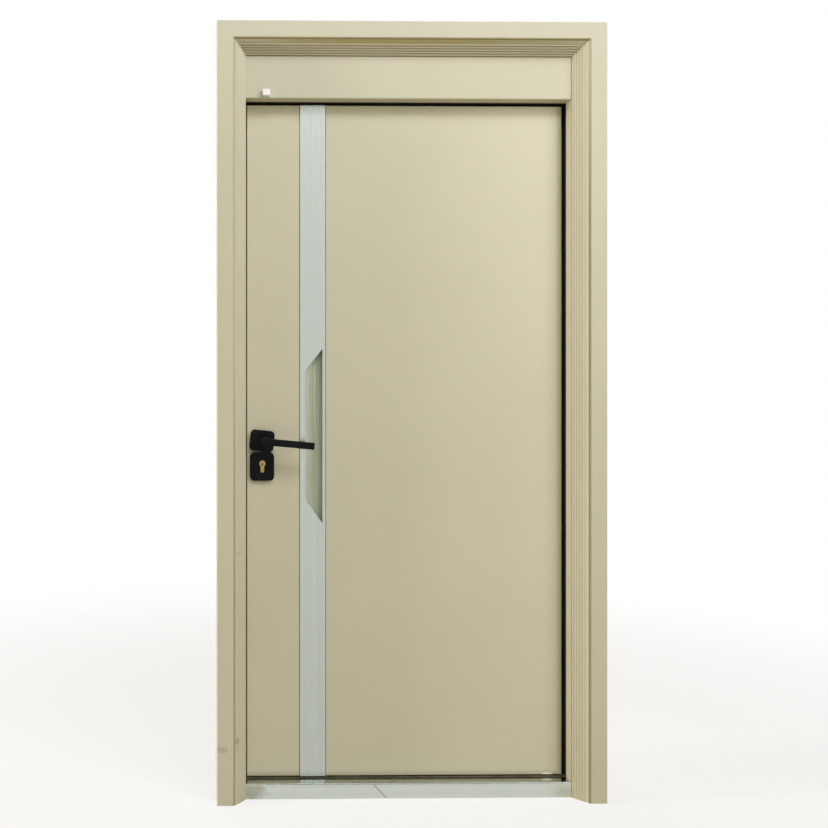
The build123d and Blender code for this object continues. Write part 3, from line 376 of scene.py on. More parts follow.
@dataclass(frozen=True)
class Seam(WearAndPaintedLight):
    """A line of painted shade, of painted shade with grime, or of painted highlight in a seam that runs up
    both sides of the frame and over its head.

    It lies between two depths and fades over as much again as its half width. Its strength
    changes between two heights. The lean brings it higher on the hinge side than on the lock
    side, which also has its own share of the strength.
    """

    side_line: float
    head_line: float
    half_width: float
    depths: Pair
    fade: float
    heights: Pair
    strengths: Pair
    colour: Colour
    head_strength: float = 0.0
    lock_share: float = 1.0
    lean: float = 0.0

    def mask(self, board: NodeBoard, effects: SharedEffects, place: object) -> Output:
        """The seam's line, on both sides and over the head.

        Args:
            board: the material's board.
            effects: the shared shader groups.
            place: the object coordinates.

        Returns:
            How strongly the line shows.
        """
        across, depth, height = board.add("ShaderNodeSeparateXYZ", {0: place}).outputs
        edge = (self.half_width, self.half_width + self.half_width)
        side = board.math("ABSOLUTE", board.math("SUBTRACT", board.math("ABSOLUTE", across), self.side_line))
        head = board.math("ABSOLUTE", board.math("SUBTRACT", height, self.head_line))
        leaning = board.math("MULTIPLY", board.math("SIGN", across), self.lean)
        sides = board.product(
            board.remap(board.math("SUBTRACT", height, leaning), self.heights, self.strengths),
            board.remap(side, edge, FADE_OUT),
            board.remap(across, (-self.half_width, self.half_width), (self.lock_share, 1.0)),
        )
        front, back = self.depths
        return board.product(
            board.math("MAXIMUM", sides, board.remap(head, edge, (self.head_strength, 0.0))),
            board.remap(depth, (front, front + self.fade)),
            board.remap(depth, (back - self.fade, back), FADE_OUT),
        )


@dataclass(frozen=True)
class EdgeShade(WearAndPaintedLight):
    """Painted shade that darkens the leaf's face towards its lower edge and its hinge edge.

    It lies on the face alone, and ends within a skin's depth below it.
    """

    face: float
    lower_edge: float
    hinge_edge: float
    reach: float
    skin: float
    colour: Colour
    strength: float

    def mask(self, board: NodeBoard, effects: SharedEffects, place: object) -> Output:
        """The painted shade along both edges.

        Args:
            board: the material's board.
            effects: the shared shader groups.
            place: the object coordinates.

        Returns:
            How strongly the shade shows.
        """
        across, depth, height = board.add("ShaderNodeSeparateXYZ", {0: place}).outputs
        low = board.remap(height, (self.lower_edge, self.lower_edge + self.reach), (self.strength, 0.0))
        hinge = board.remap(across, (self.hinge_edge - self.reach, self.hinge_edge), (0.0, self.strength))
        below = self.face + self.skin
        outside = board.remap(depth, (below, below + self.skin), FADE_OUT)
        return board.product(board.math("MAXIMUM", low, hinge), outside)


@dataclass(frozen=True)
class ReedShade(WearAndPaintedLight):
    """Painted shade in the valleys between the casing's reeds, stronger over the head.

    The reeds cover the splay from its start share to its inner edge. Valleys and the start of
    the shade are counted in reeds, and the shade ends at the casing's back.
    """

    half_width: float
    height: float
    flat: float
    splay: float
    start_share: float
    count: int
    back: float
    valley: Pair
    colour: Colour
    side_strength: float
    head_strength: float
    start: Pair = (-0.5, -0.3)
    back_fade: float = 2.0 * MM
    mitre: float = 1.0 * MM

    def mask(self, board: NodeBoard, effects: SharedEffects, place: object) -> Output:
        """The painted shade in the valleys, on the casing's splay alone.

        Args:
            board: the material's board.
            effects: the shared shader groups.
            place: the object coordinates.

        Returns:
            How strongly the shade shows.
        """
        across, depth, height = board.add("ShaderNodeSeparateXYZ", {0: place}).outputs
        side = board.math("SUBTRACT", self.half_width, board.math("ABSOLUTE", across))
        head = board.math("SUBTRACT", self.height, height)
        inward = board.math("SUBTRACT", board.math("MINIMUM", side, head), self.flat)
        share = board.math("DIVIDE", inward, self.splay)
        pitch = (1.0 - self.start_share) / self.count
        reed = board.math("DIVIDE", board.math("SUBTRACT", share, self.start_share), pitch)
        past_mitre = board.math("SUBTRACT", side, head)
        return board.product(
            board.remap(board.math("PINGPONG", reed, HALF), self.valley, FADE_OUT),
            board.remap(reed, self.start),
            board.remap(depth, (self.back - self.back_fade, self.back), FADE_OUT),
            board.remap(past_mitre, (-self.mitre, self.mitre), (self.side_strength, self.head_strength)),
        )


class Finish:
    """What every finish shares: a material with a colour under its wear and painted light, a roughness and a
    bump.
    """

    name: str
    colour: Colour
    shade: Colour
    roughness: Pair
    depth: float
    marks: tuple[WearAndPaintedLight, ...]

    def open(self) -> tuple[bpy.types.Material, NodeBoard, Output, bpy.types.Node]:
        """Starts the material.

        Returns:
            The material, its board, the object coordinates and the surface shader.
        """
        material = bpy.data.materials.new(self.name)
        material.use_nodes = True
        board = NodeBoard(material.node_tree)
        place = board.add("ShaderNodeTexCoord").outputs["Object"]
        shader = board.add("ShaderNodeBsdfPrincipled")
        surface = board.add("ShaderNodeOutputMaterial")
        board.feed(surface.inputs["Surface"], shader.outputs[0])
        return material, board, place, shader

    def cover(self, board: NodeBoard, effects: SharedEffects, place: Output, tone: Output) -> Output:
        """Mixes the two tones and lays the marks over them.

        Args:
            board: the material's board.
            effects: the shared shader groups.
            place: the object coordinates.
            tone: the share of the shade.

        Returns:
            The worn colour.
        """
        colour = board.blend(tone, opaque(self.colour), opaque(self.shade))
        for mark in self.marks:
            colour = mark.lay(board, effects, place, colour)
        return colour

    def close(self, board: NodeBoard, shader: bpy.types.Node, tone: Output, height: Output) -> None:
        """Feeds the roughness and the bump.

        Args:
            board: the material's board.
            shader: the surface shader.
            tone: what the roughness follows.
            height: what the bump follows.
        """
        board.feed(shader.inputs["Roughness"], board.remap(tone, (0.0, 1.0), self.roughness))
        bump = board.add("ShaderNodeBump", {"Height": height, "Distance": self.depth})
        board.feed(shader.inputs["Normal"], bump.outputs[0])

    def build(self, effects: SharedEffects) -> bpy.types.Material:
        """Builds the material."""
        raise NotImplementedError


@dataclass(frozen=True)
class Sprayed(Finish):
    """Paint, coating, rubber, plastic or wool: a tone that drifts, a fine grain and marks.

    Ribs are fine level lines. Their figure is how close they lie, and their spread how soon they break.
    """

    name: str
    colour: Colour
    shade: Colour
    roughness: Pair = (0.42, 0.5)
    grain: float = 700.0
    drift: float = 2.5
    depth: float = 0.02 * MM
    ribs: float = 0.0
    rib_weight: float = 1.0
    rib_spread: float = 9.0
    gloss: float = 0.5
    marks: tuple[WearAndPaintedLight, ...] = ()

    def build(self, effects: SharedEffects) -> bpy.types.Material:
        """Builds the material.

        Args:
            effects: the shared shader groups.

        Returns:
            The finished material.
        """
        material, board, place, shader = self.open()
        grain = board.group(effects.grain, {"Vector": place, "Grain": self.grain, "Drift": self.drift})
        tone, height = grain.outputs["Tone"], grain.outputs["Height"]
        board.feed(shader.inputs["Base Color"], self.cover(board, effects, place, tone))
        if self.ribs:
            stretch = (self.rib_spread, self.rib_spread, self.ribs)
            lines = board.group(effects.hairlines, {"Vector": place, "Stretch": stretch})
            drawn = board.math("MULTIPLY", lines.outputs["Height"], self.rib_weight)
            height = board.math("ADD", height, drawn)
        self.close(board, shader, tone, height)
        shader.inputs["Specular IOR Level"].default_value = self.gloss
        return material


@dataclass(frozen=True)
class Brushed(Finish):
    """Bare metal with drawn lines or a fine even scratch."""

    name: str
    colour: Colour
    shade: Colour
    roughness: Pair
    stretch: Triple
    depth: float = 0.01 * MM
    marks: tuple[WearAndPaintedLight, ...] = ()

    def build(self, effects: SharedEffects) -> bpy.types.Material:
        """Builds the material.

        Args:
            effects: the shared shader groups.

        Returns:
            The finished material.
        """
        material, board, place, shader = self.open()
        lines = board.group(effects.hairlines, {"Vector": place, "Stretch": self.stretch})
        streak = lines.outputs["Streak"]
        board.feed(shader.inputs["Base Color"], self.cover(board, effects, place, streak))
        self.close(board, shader, streak, lines.outputs["Height"])
        shader.inputs["Metallic"].default_value = 1.0
        return material


BEIGE: Colour = (0.558, 0.516, 0.360)
BEIGE_SHADE: Colour = (0.540, 0.499, 0.345)
# The frame's two tones are the leaf's beige made darker: painted shade on a copy of the same paint
SHADED_FRAME_BEIGE: Colour = (0.526, 0.486, 0.339)
SHADED_FRAME_TONE: Colour = (0.508, 0.469, 0.325)
DIRT: Colour = (0.16, 0.13, 0.08)
# Painted shade for the groove beside the casing's flat band
GROOVE_SHADE: Colour = (0.2, 0.15, 0.016)
# Painted shade, warm with bounced light, for the splay over the head
HEAD_SPLAY_SHADE: Colour = (0.37, 0.31, 0.11)
# Painted highlight for the hinge jamb's edge
REVEAL_HIGHLIGHT: Colour = (0.84, 0.80, 0.68)
# Painted shade for the reeds and the leaf's edges, and painted shade with some grime for the casing's joints
SHADE_AND_GRIME: Colour = (0.27, 0.215, 0.115)
PRIMER: Colour = (0.86, 0.83, 0.75)
LOCK_END_TINT: Colour = (0.30, 0.28, 0.19)
HINGE_END_TINT: Colour = (0.44, 0.42, 0.29)
# Painted shade for the sill's upper edge, and the colour of the scratch
SCRATCH_AND_EDGE_SHADE: Colour = (0.13, 0.14, 0.12)

GROOVE_INSET = 47.2 * MM
FRAME_MARKS = (
    # Painted shade in the valleys between the reeds
    ReedShade(
        half_width=HALF_WIDTH, height=HEIGHT, flat=46.0 * MM, splay=34.5 * MM, start_share=0.3, count=5,
        back=CASING_BACK - 1.0 * MM, valley=(0.06, 0.3), colour=SHADE_AND_GRIME, side_strength=0.3, head_strength=0.85,
    ),
    # Painted shade in the groove beside the flat band, darker lower down and reaching higher on the hinge
    # side
    Seam(
        side_line=HALF_WIDTH - GROOVE_INSET, head_line=HEIGHT - GROOVE_INSET, half_width=1.4 * MM,
        depths=(CASING_FACE + 0.2 * MM, CASING_FACE + 4.0 * MM), fade=0.5 * MM, heights=(1.05, 1.75),
        strengths=(0.95, 0.2), colour=GROOVE_SHADE, head_strength=0.9, lock_share=0.8, lean=0.42,
    ),
    # Painted shade with some grime where the casing meets the jambs and the head, darker lower down
    Seam(
        side_line=445.2 * MM, head_line=2019.8 * MM, half_width=1.3 * MM,
        depths=(CASING_BACK - 3.5 * MM, CASING_BACK + 2.5 * MM), fade=1.0 * MM, heights=(0.05, 1.3),
        strengths=(0.95, 0.7), colour=SHADE_AND_GRIME, head_strength=1.0, lock_share=0.25,
    ),
    # Painted highlight: a paler line along the hinge jamb, just in front of the leaf, brighter higher up
    Seam(
        side_line=444.5 * MM, head_line=1904.0 * MM, half_width=1.0 * MM,
        depths=(LEAF_FACE - 7.0 * MM, LEAF_FACE - 1.0 * MM), fade=1.0 * MM, heights=(0.3, 1.0),
        strengths=(0.1, 0.75), colour=REVEAL_HIGHLIGHT, head_strength=0.0, lock_share=0.0,
    ),
    # Painted shade, warm with bounced light: a golden-olive cast beside the groove over the head
    Mark(
        (0.0, -0.0893, 2.0465), (0.56, 0.0095, 0.0078), HEAD_SPLAY_SHADE,
        strength=0.9, raggedness=0.4, grain=8.0, softness=0.6,
    ),
    # Smudges low on the lock side
    Mark((-0.511, -0.095, 0.149), (0.017, 0.03, 0.012), DIRT, strength=0.32),
    Mark((-0.471, -0.085, 0.170), (0.009, 0.03, 0.013), DIRT, strength=0.42),
    # Faint smudges higher on the lock side and on the head
    Mark(
        (-0.4645, -0.085, 0.672), (0.013, 0.03, 0.012), DIRT,
        strength=0.2, raggedness=0.5, grain=120.0, softness=0.9,
    ),
    Mark(
        (-0.274, -0.055, 1.945), (0.005, 0.02, 0.006), DIRT,
        strength=0.12, raggedness=0.6, grain=220.0, softness=0.9,
    ),
)
LEAF_MARKS = (
    # Painted shade towards the edges that the frame covers
    EdgeShade(
        face=LEAF_FACE, lower_edge=47.0 * MM, hinge_edge=434.0 * MM, reach=20.0 * MM, skin=3.0 * MM,
        colour=SHADE_AND_GRIME, strength=0.55,
    ),
    # Chip in the paint at the lower hinge corner
    Mark(
        (0.3935, -0.017, 0.0495), (0.0165, 0.006, 0.0034), PRIMER,
        raggedness=1.7, grain=240.0, softness=0.3,
    ),
)
SILL_MARKS = (
    # Painted shade: the upper front edge darkened from end to end, which dims the lamps' highlight on its
    # bend
    Mark(
        (0.0, -0.055, 0.042), (1.1, 0.0045, 0.0045), SCRATCH_AND_EDGE_SHADE,
        strength=0.85, raggedness=0.5, grain=60.0, softness=0.6,
    ),
    # Darker beige patch at the lock side end
    Mark(
        (-0.432, -0.055, 0.020), (0.058, 0.05, 0.034), LOCK_END_TINT,
        strength=0.7, raggedness=1.0, grain=45.0, softness=0.7,
    ),
    # Beige patch at the hinge side end
    Mark(
        (0.432, -0.055, 0.016), (0.062, 0.05, 0.034), HINGE_END_TINT,
        strength=0.75, raggedness=0.5, grain=30.0, softness=0.95,
    ),
    # Scratch from the upper edge down to the floor
    Scratch((-0.098, 0.039), (-0.0605, 0.0), half_width=1.5 * MM, colour=SCRATCH_AND_EDGE_SHADE, strength=0.75),
)


class Coat(Enum):
    """Every finish of the door."""

    FRAME_PAINT = Sprayed("frame_paint", SHADED_FRAME_BEIGE, SHADED_FRAME_TONE, marks=FRAME_MARKS)
    LEAF_PAINT = Sprayed("leaf_paint", BEIGE, BEIGE_SHADE, ribs=130.0, rib_weight=12.0, marks=LEAF_MARKS)
    HINGE_PAINT = Sprayed("hinge_paint", (0.50, 0.47, 0.33), BEIGE_SHADE, roughness=(0.35, 0.45))
    STRIP_STEEL = Brushed(
        "strip_steel", (0.52, 0.55, 0.50), (0.467, 0.498, 0.447),
        roughness=(0.25, 0.32), stretch=(1800.0, 1800.0, 6.0), depth=0.006 * MM,
    )
    POCKET_STEEL = Brushed(
        "pocket_steel", (0.455, 0.475, 0.365), (0.405, 0.425, 0.32),
        roughness=(0.75, 0.85), stretch=(900.0, 900.0, 12.0),
    )
    SILL_STEEL = Brushed(
        "sill_steel", (0.61, 0.645, 0.59), (0.57, 0.605, 0.55),
        roughness=(0.12, 0.2), stretch=(5.0, 900.0, 900.0), depth=0.002 * MM, marks=SILL_MARKS,
    )
    ZINC_STEEL = Brushed(
        "zinc_steel", (0.55, 0.55, 0.53), (0.42, 0.42, 0.40),
        roughness=(0.34, 0.5), stretch=(160.0, 160.0, 160.0),
    )
    BRASS = Brushed(
        "brass", (0.40, 0.32, 0.115), (0.31, 0.24, 0.08),
        roughness=(0.3, 0.45), stretch=(700.0, 700.0, 700.0),
    )
    SEAL_RUBBER = Sprayed(
        "seal_rubber", (0.006, 0.006, 0.006), (0.012, 0.011, 0.010),
        roughness=(0.65, 0.8), grain=1400.0, drift=20.0, depth=0.05 * MM, gloss=0.2,
    )
    # Painted shade: the seals at the lock side and the sill are dark olive instead of black, so their gaps
    # read as soft shade
    SHADE_TONED_RUBBER = Sprayed(
        "shade_toned_rubber", (0.10, 0.086, 0.052), (0.062, 0.054, 0.033),
        roughness=(0.75, 0.9), grain=900.0, drift=25.0, depth=0.05 * MM, gloss=0.2,
    )
    BLACK_COATING = Sprayed(
        "black_coating", (0.003, 0.003, 0.0033), (0.006, 0.006, 0.0064),
        roughness=(0.36, 0.46), grain=2500.0, drift=30.0, depth=0.03 * MM, gloss=0.08,
    )
    WHITE_PLASTIC = Sprayed(
        "white_plastic", (0.88, 0.87, 0.84), (0.82, 0.81, 0.77),
        roughness=(0.4, 0.5), grain=2500.0, drift=60.0,
    )
    MINERAL_WOOL = Sprayed(
        "mineral_wool", (0.40, 0.34, 0.16), (0.26, 0.22, 0.10),
        roughness=(0.9, 1.0), grain=500.0, drift=40.0, depth=1.0 * MM,
    )


class Finishes:
    """The door's materials, one for every finish."""

    def __init__(self) -> None:
        """Builds the shared effects and then every material."""
        effects = SharedEffects()
        self.materials = {coat: coat.value.build(effects) for coat in Coat}

    def dress(self, coat: Coat, nodes: Iterable[str]) -> None:
        """Gives solids a finish.

        Args:
            coat: the finish.
            nodes: the names of the solids.
        """
        for node in nodes:
            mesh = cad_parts[node].data
            mesh.materials.clear()
            mesh.materials.append(self.materials[coat])
            LOG.info("%s wears %s", node, coat.value.name)


class Recess(Enum):
    """The shape that a driver fits in a screw's head."""

    CROSS = "cross"
    HEX = "hex"


class Facing(Enum):
    """The way that a screw's head looks."""

    HINGE_SIDE = (1.0, 0.0, 0.0)
    LOCK_SIDE = (-1.0, 0.0, 0.0)
    INSIDE = (0.0, 1.0, 0.0)


def island_boxes(node: str) -> list[tuple[Vector, Vector]]:
    """Finds the separate solids of one node.

    Args:
        node: the node's name.

    Returns:
        The lowest and highest corner of each solid.
    """
    shell = bmesh.new()
    shell.from_mesh(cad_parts[node].data)
    bmesh.ops.remove_doubles(shell, verts=shell.verts, dist=MERGE_DISTANCE)
    waiting, boxes = set(shell.verts), []
    while waiting:
        front = [waiting.pop()]
        low, high = front[0].co.copy(), front[0].co.copy()
        while front:
            vert = front.pop()
            low = Vector(map(min, low, vert.co))
            high = Vector(map(max, high, vert.co))
            near = {edge.other_vert(vert) for edge in vert.link_edges} & waiting
            waiting -= near
            front.extend(near)
        boxes.append((low, high))
    shell.free()
    return sorted(boxes, key=lambda box: tuple(box[0]))


def grown_mesh(name: str, points: list[Vector], tree: bpy.types.NodeTree, values: dict) -> bpy.types.Mesh:
    """Runs a geometry node tree on some points.

    Args:
        name: the mesh's name.
        points: the places that the tree starts from.
        tree: the geometry node tree.
        values: the tree's inputs by name.

    Returns:
        The result as a plain mesh.
    """
    base = bpy.data.meshes.new(f"{name}_points")
    base.from_pydata(points, [], [])
    carrier = bpy.data.objects.new(f"{name}_carrier", base)
    bpy.context.scene.collection.objects.link(carrier)
    modifier = carrier.modifiers.new(name, "NODES")
    modifier.node_group = tree
    for item in tree.interface.items_tree:
        if item.in_out == "INPUT" and item.name in values:
            modifier[item.identifier] = values[item.name]
    graph = bpy.context.evaluated_depsgraph_get()
    mesh = bpy.data.meshes.new_from_object(carrier.evaluated_get(graph))
    carrier.modifiers.remove(modifier)
    bpy.data.objects.remove(carrier)
    mesh.name = name
    return mesh


def stand_in(mesh: bpy.types.Mesh, body: str, node: str) -> bpy.types.Object:
    """Sets a mesh into the door in place of a solid.

    Args:
        mesh: the finished mesh, whose name the piece takes.
        body: the body that the piece rides on.
        node: the solid that it stands for.

    Returns:
        The piece.
    """
    piece = bpy.data.objects.new(mesh.name, mesh)
    bpy.context.scene.collection.objects.link(piece)
    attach(piece, body)
    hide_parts(node)
    LOG.info("%s: %d faces for %s", piece.name, len(mesh.polygons), node)
    return piece


@dataclass
class ScrewSet:
    """The screws of one node, each with a turned head and a driver recess.

    The head tapers from its radius at the face to its seat radius below.
    """

    node: str
    body: str
    facing: Facing
    recess: Recess
    head_radius: float = 4.8 * MM
    seat_radius: float = 2.4 * MM
    head_height: float = 2.6 * MM
    shank_radius: float = 2.3 * MM
    recess_width: float = 5.2 * MM
    recess_depth: float = 1.6 * MM
    seed: int = 3

    SIDES = 32
    HEX_SIDES = 6
    OVERLAP_SHARE = 0.5
    SLOT_SHARE = 0.22
    # The second slot stays a little shallower, so that the two cutters share no face
    SECOND_SLOT_SHARE = 0.92
    # The random node's float sockets go by index, because its sockets share their names
    CHANCE_MAX, CHANCE_VALUE = 3, 1

    def head_places(self) -> list[Vector]:
        """The centres of the heads' faces, read from the solids."""
        return [
            (low + high) / 2 + Vector(way * size / 2 for way, size in zip(self.facing.value, high - low))
            for low, high in island_boxes(self.node)
        ]

    def shank_length(self) -> float:
        """How far the shank reaches below the head."""
        low, high = island_boxes(self.node)[0]
        axis = max(range(3), key=lambda index: abs(self.facing.value[index]))
        return (high - low)[axis] - self.head_height

    def build_tree(self) -> bpy.types.NodeTree:
        """Builds the tree that sets a screw on every point.

        Returns:
            The geometry node tree.
        """
        board, given, result = open_group(
            f"{self.node}_tree",
            "GeometryNodeTree",
            {
                "Points": Socket.GEOMETRY,
                "Head Radius": Socket.FLOAT,
                "Seat Radius": Socket.FLOAT,
                "Head Height": Socket.FLOAT,
                "Shank Radius": Socket.FLOAT,
                "Shank Length": Socket.FLOAT,
                "Recess Width": Socket.FLOAT,
                "Recess Depth": Socket.FLOAT,
                "Facing": Socket.VECTOR,
                "Seed": Socket.WHOLE,
                "Finish": Socket.MATERIAL,
            },
            {"Screws": Socket.GEOMETRY},
        )
        get = given.outputs
        head = self.lifted(
            board,
            board.add(
                "GeometryNodeMeshCone",
                {
                    "Vertices": self.SIDES,
                    "Radius Top": get["Head Radius"],
                    "Radius Bottom": get["Seat Radius"],
                    "Depth": get["Head Height"],
                },
            ).outputs["Mesh"],
            board.math("MULTIPLY", get["Head Height"], -1.0),
        )
        overlap = board.math("MULTIPLY", get["Head Height"], self.OVERLAP_SHARE)
        length = board.math("ADD", get["Shank Length"], overlap)
        middle = board.math("ADD", overlap, board.math("MULTIPLY", length, HALF))
        shank = self.lifted(
            board,
            board.add(
                "GeometryNodeMeshCylinder",
                {"Vertices": self.SIDES, "Radius": get["Shank Radius"], "Depth": length},
            ).outputs["Mesh"],
            board.math("MULTIPLY", middle, -1.0),
        )
        whole = board.add("GeometryNodeMeshBoolean", {"Mesh 2": head}, operation="UNION")
        board.feed(whole.inputs["Mesh 2"], shank)
        cut = board.add("GeometryNodeMeshBoolean", {"Mesh 1": whole.outputs[0]}, operation="DIFFERENCE")
        for tool in self.recess_tools(board, get["Recess Width"], get["Recess Depth"]):
            board.feed(cut.inputs["Mesh 2"], tool)
        aligned = board.add(
            "FunctionNodeAlignRotationToVector", {"Vector": get["Facing"]}, axis="Z"
        ).outputs["Rotation"]
        placed = board.add(
            "GeometryNodeInstanceOnPoints",
            {"Points": get["Points"], "Instance": cut.outputs[0], "Rotation": aligned},
        )
        chance = board.add("FunctionNodeRandomValue", {"Seed": get["Seed"]}, data_type="FLOAT")
        chance.inputs[self.CHANCE_MAX].default_value = math.tau
        turn = board.add("ShaderNodeCombineXYZ", {"Z": chance.outputs[self.CHANCE_VALUE]}).outputs[0]
        turned = board.add(
            "GeometryNodeRotateInstances",
            {
                "Instances": placed.outputs[0],
                "Rotation": board.add("FunctionNodeEulerToRotation", {"Euler": turn}).outputs[0],
            },
        )
        plain = board.add("GeometryNodeRealizeInstances", {"Geometry": turned.outputs[0]})
        dressed = board.add(
            "GeometryNodeSetMaterial", {"Geometry": plain.outputs[0], "Material": get["Finish"]}
        )
        board.feed(result.inputs["Screws"], dressed.outputs[0])
        return board.tree

    @staticmethod
    def lifted(board: NodeBoard, mesh: object, height: object) -> Output:
        """Moves a mesh along the screw's own axis."""
        place = board.add("ShaderNodeCombineXYZ", {"Z": height}).outputs[0]
        return board.add("GeometryNodeTransform", {"Geometry": mesh, "Translation": place}).outputs[0]

    def recess_tools(self, board: NodeBoard, width: object, depth: object) -> list[Output]:
        """The shapes that cut the recess.

        Args:
            board: the tree's board.
            width: the recess's width.
            depth: the recess's depth.

        Returns:
            The meshes to take away from the head.
        """
        tall = board.math("MULTIPLY", depth, 2.0)
        if self.recess is Recess.HEX:
            radius = board.math("MULTIPLY", width, HALF)
            inputs = {"Vertices": self.HEX_SIDES, "Radius": radius, "Depth": tall}
            return [board.add("GeometryNodeMeshCylinder", inputs).outputs["Mesh"]]
        narrow = board.math("MULTIPLY", width, self.SLOT_SHARE)
        lower = board.math("MULTIPLY", tall, self.SECOND_SLOT_SHARE)
        tools = []
        for x, y, z in ((width, narrow, tall), (narrow, width, lower)):
            size = board.add("ShaderNodeCombineXYZ", {"X": x, "Y": y, "Z": z}).outputs[0]
            tools.append(board.add("GeometryNodeMeshCube", {"Size": size}).outputs["Mesh"])
        return tools

    def build(self, finishes: Finishes) -> None:
        """Builds the screws as one plain mesh that stands for the node.

        Args:
            finishes: the door's materials.
        """
        values = {
            "Head Radius": self.head_radius,
            "Seat Radius": self.seat_radius,
            "Head Height": self.head_height,
            "Shank Radius": self.shank_radius,
            "Shank Length": self.shank_length(),
            "Recess Width": self.recess_width,
            "Recess Depth": self.recess_depth,
            "Facing": self.facing.value,
            "Seed": self.seed,
            "Finish": finishes.materials[Coat.ZINC_STEEL],
        }
        mesh = grown_mesh(f"{self.node}_turned", self.head_places(), self.build_tree(), values)
        stand_in(mesh, self.body, self.node)


@dataclass
class LatchSpring:
    """The coil behind the latch, which shortens as the lever draws the latch back."""

    node: str = "latch_spring"
    joint: str = "latch_slide"
    wire_radius: float = 0.6 * MM
    turns: float = 8.0
    points_per_turn: int = 24
    wire_sides: int = 10

    def build_tree(self) -> bpy.types.NodeTree:
        """Builds the tree that winds the wire along X.

        Returns:
            The geometry node tree.
        """
        board, given, result = open_group(
            "latch_spring_tree",
            "GeometryNodeTree",
            {
                "Base": Socket.GEOMETRY,
                "Start": Socket.VECTOR,
                "Radius": Socket.FLOAT,
                "Length": Socket.FLOAT,
                "Wire Radius": Socket.FLOAT,
                "Turns": Socket.FLOAT,
                "Finish": Socket.MATERIAL,
            },
            {"Coil": Socket.GEOMETRY},
        )
        get = given.outputs
        line = board.add(
            "GeometryNodeCurveSpiral",
            {
                "Resolution": self.points_per_turn,
                "Rotations": get["Turns"],
                "Start Radius": get["Radius"],
                "End Radius": get["Radius"],
                "Height": get["Length"],
            },
        )
        laid = board.add(
            "GeometryNodeTransform",
            {
                "Geometry": line.outputs[0],
                "Translation": get["Start"],
                "Rotation": (0.0, QUARTER_TURN, 0.0),
            },
        )
        section = board.add(
            "GeometryNodeCurvePrimitiveCircle",
            {"Resolution": self.wire_sides, "Radius": get["Wire Radius"]},
        )
        wire = board.add(
            "GeometryNodeCurveToMesh",
            {"Curve": laid.outputs[0], "Profile Curve": section.outputs[0], "Fill Caps": True},
        )
        plain = board.add("GeometryNodeRealizeInstances", {"Geometry": wire.outputs[0]})
        dressed = board.add(
            "GeometryNodeSetMaterial", {"Geometry": plain.outputs[0], "Material": get["Finish"]}
        )
        board.feed(result.inputs["Coil"], dressed.outputs[0])
        return board.tree

    def build(self, finishes: Finishes) -> None:
        """Winds the spring, sets it in the solid's place and gives it a mesh of its own.

        Args:
            finishes: the door's materials.
        """
        low, high = (Vector(corner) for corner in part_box(self.node))
        middle = (low + high) / 2
        values = {
            "Start": (low.x + self.wire_radius, middle.y, middle.z),
            "Radius": (high.y - low.y) / 2 - self.wire_radius,
            "Length": high.x - low.x - 2.0 * self.wire_radius,
            "Wire Radius": self.wire_radius,
            "Turns": self.turns,
            "Finish": finishes.materials[Coat.ZINC_STEEL],
        }
        piece = stand_in(grown_mesh(f"{self.node}_coil", [], self.build_tree(), values), "leaf", self.node)
        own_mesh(piece)


@dataclass
class FrameSet:
    """The jambs, the head, the casing round them, the sill, the seals and the strike."""

    painted: tuple[str, ...] = (
        "lock_jamb", "hinge_jamb", "frame_head", "casing_lock_side", "casing_hinge_side", "casing_head",
    )
    seals: tuple[str, ...] = ("seal_hinge_side", "seal_head")
    # These seals wear a painted soft shade rather than black rubber
    shade_toned_seals: tuple[str, ...] = ("seal_lock_side", "seal_sill")
    bare: tuple[str, ...] = ("sill_base", "strike_plate")
    screw_recess: float = 5.2 * MM

    def build(self, finishes: Finishes) -> None:
        """Dresses the frame and drives the strike's screws.

        Args:
            finishes: the door's materials.
        """
        finishes.dress(Coat.FRAME_PAINT, self.painted)
        finishes.dress(Coat.SEAL_RUBBER, self.seals)
        finishes.dress(Coat.SHADE_TONED_RUBBER, self.shade_toned_seals)
        finishes.dress(Coat.ZINC_STEEL, self.bare)
        finishes.dress(Coat.SILL_STEEL, ("threshold",))
        finishes.dress(Coat.WHITE_PLASTIC, ("contact_block",))
        ScrewSet(
            "strike_screws", "frame", Facing.HINGE_SIDE, Recess.CROSS, recess_width=self.screw_recess
        ).build(finishes)


@dataclass
class Leaf:
    """The leaf's skins, what they hold, and the bright strip with its pocket."""

    skins: tuple[str, ...] = ("outer_skin", "inner_skin")
    inside: tuple[str, ...] = ("lock_stile", "hinge_stile", "stiffener_1", "stiffener_2")
    boards: tuple[str, ...] = ("insulation_centre", "insulation_hinge_side", "insulation_lock_side")

    def build(self, finishes: Finishes) -> None:
        """Dresses the leaf.

        Args:
            finishes: the door's materials.
        """
        finishes.dress(Coat.LEAF_PAINT, self.skins)
        finishes.dress(Coat.ZINC_STEEL, self.inside)
        finishes.dress(Coat.MINERAL_WOOL, self.boards)
        finishes.dress(Coat.STRIP_STEEL, ("decor_strip",))
        finishes.dress(Coat.POCKET_STEEL, ("pull_pocket",))


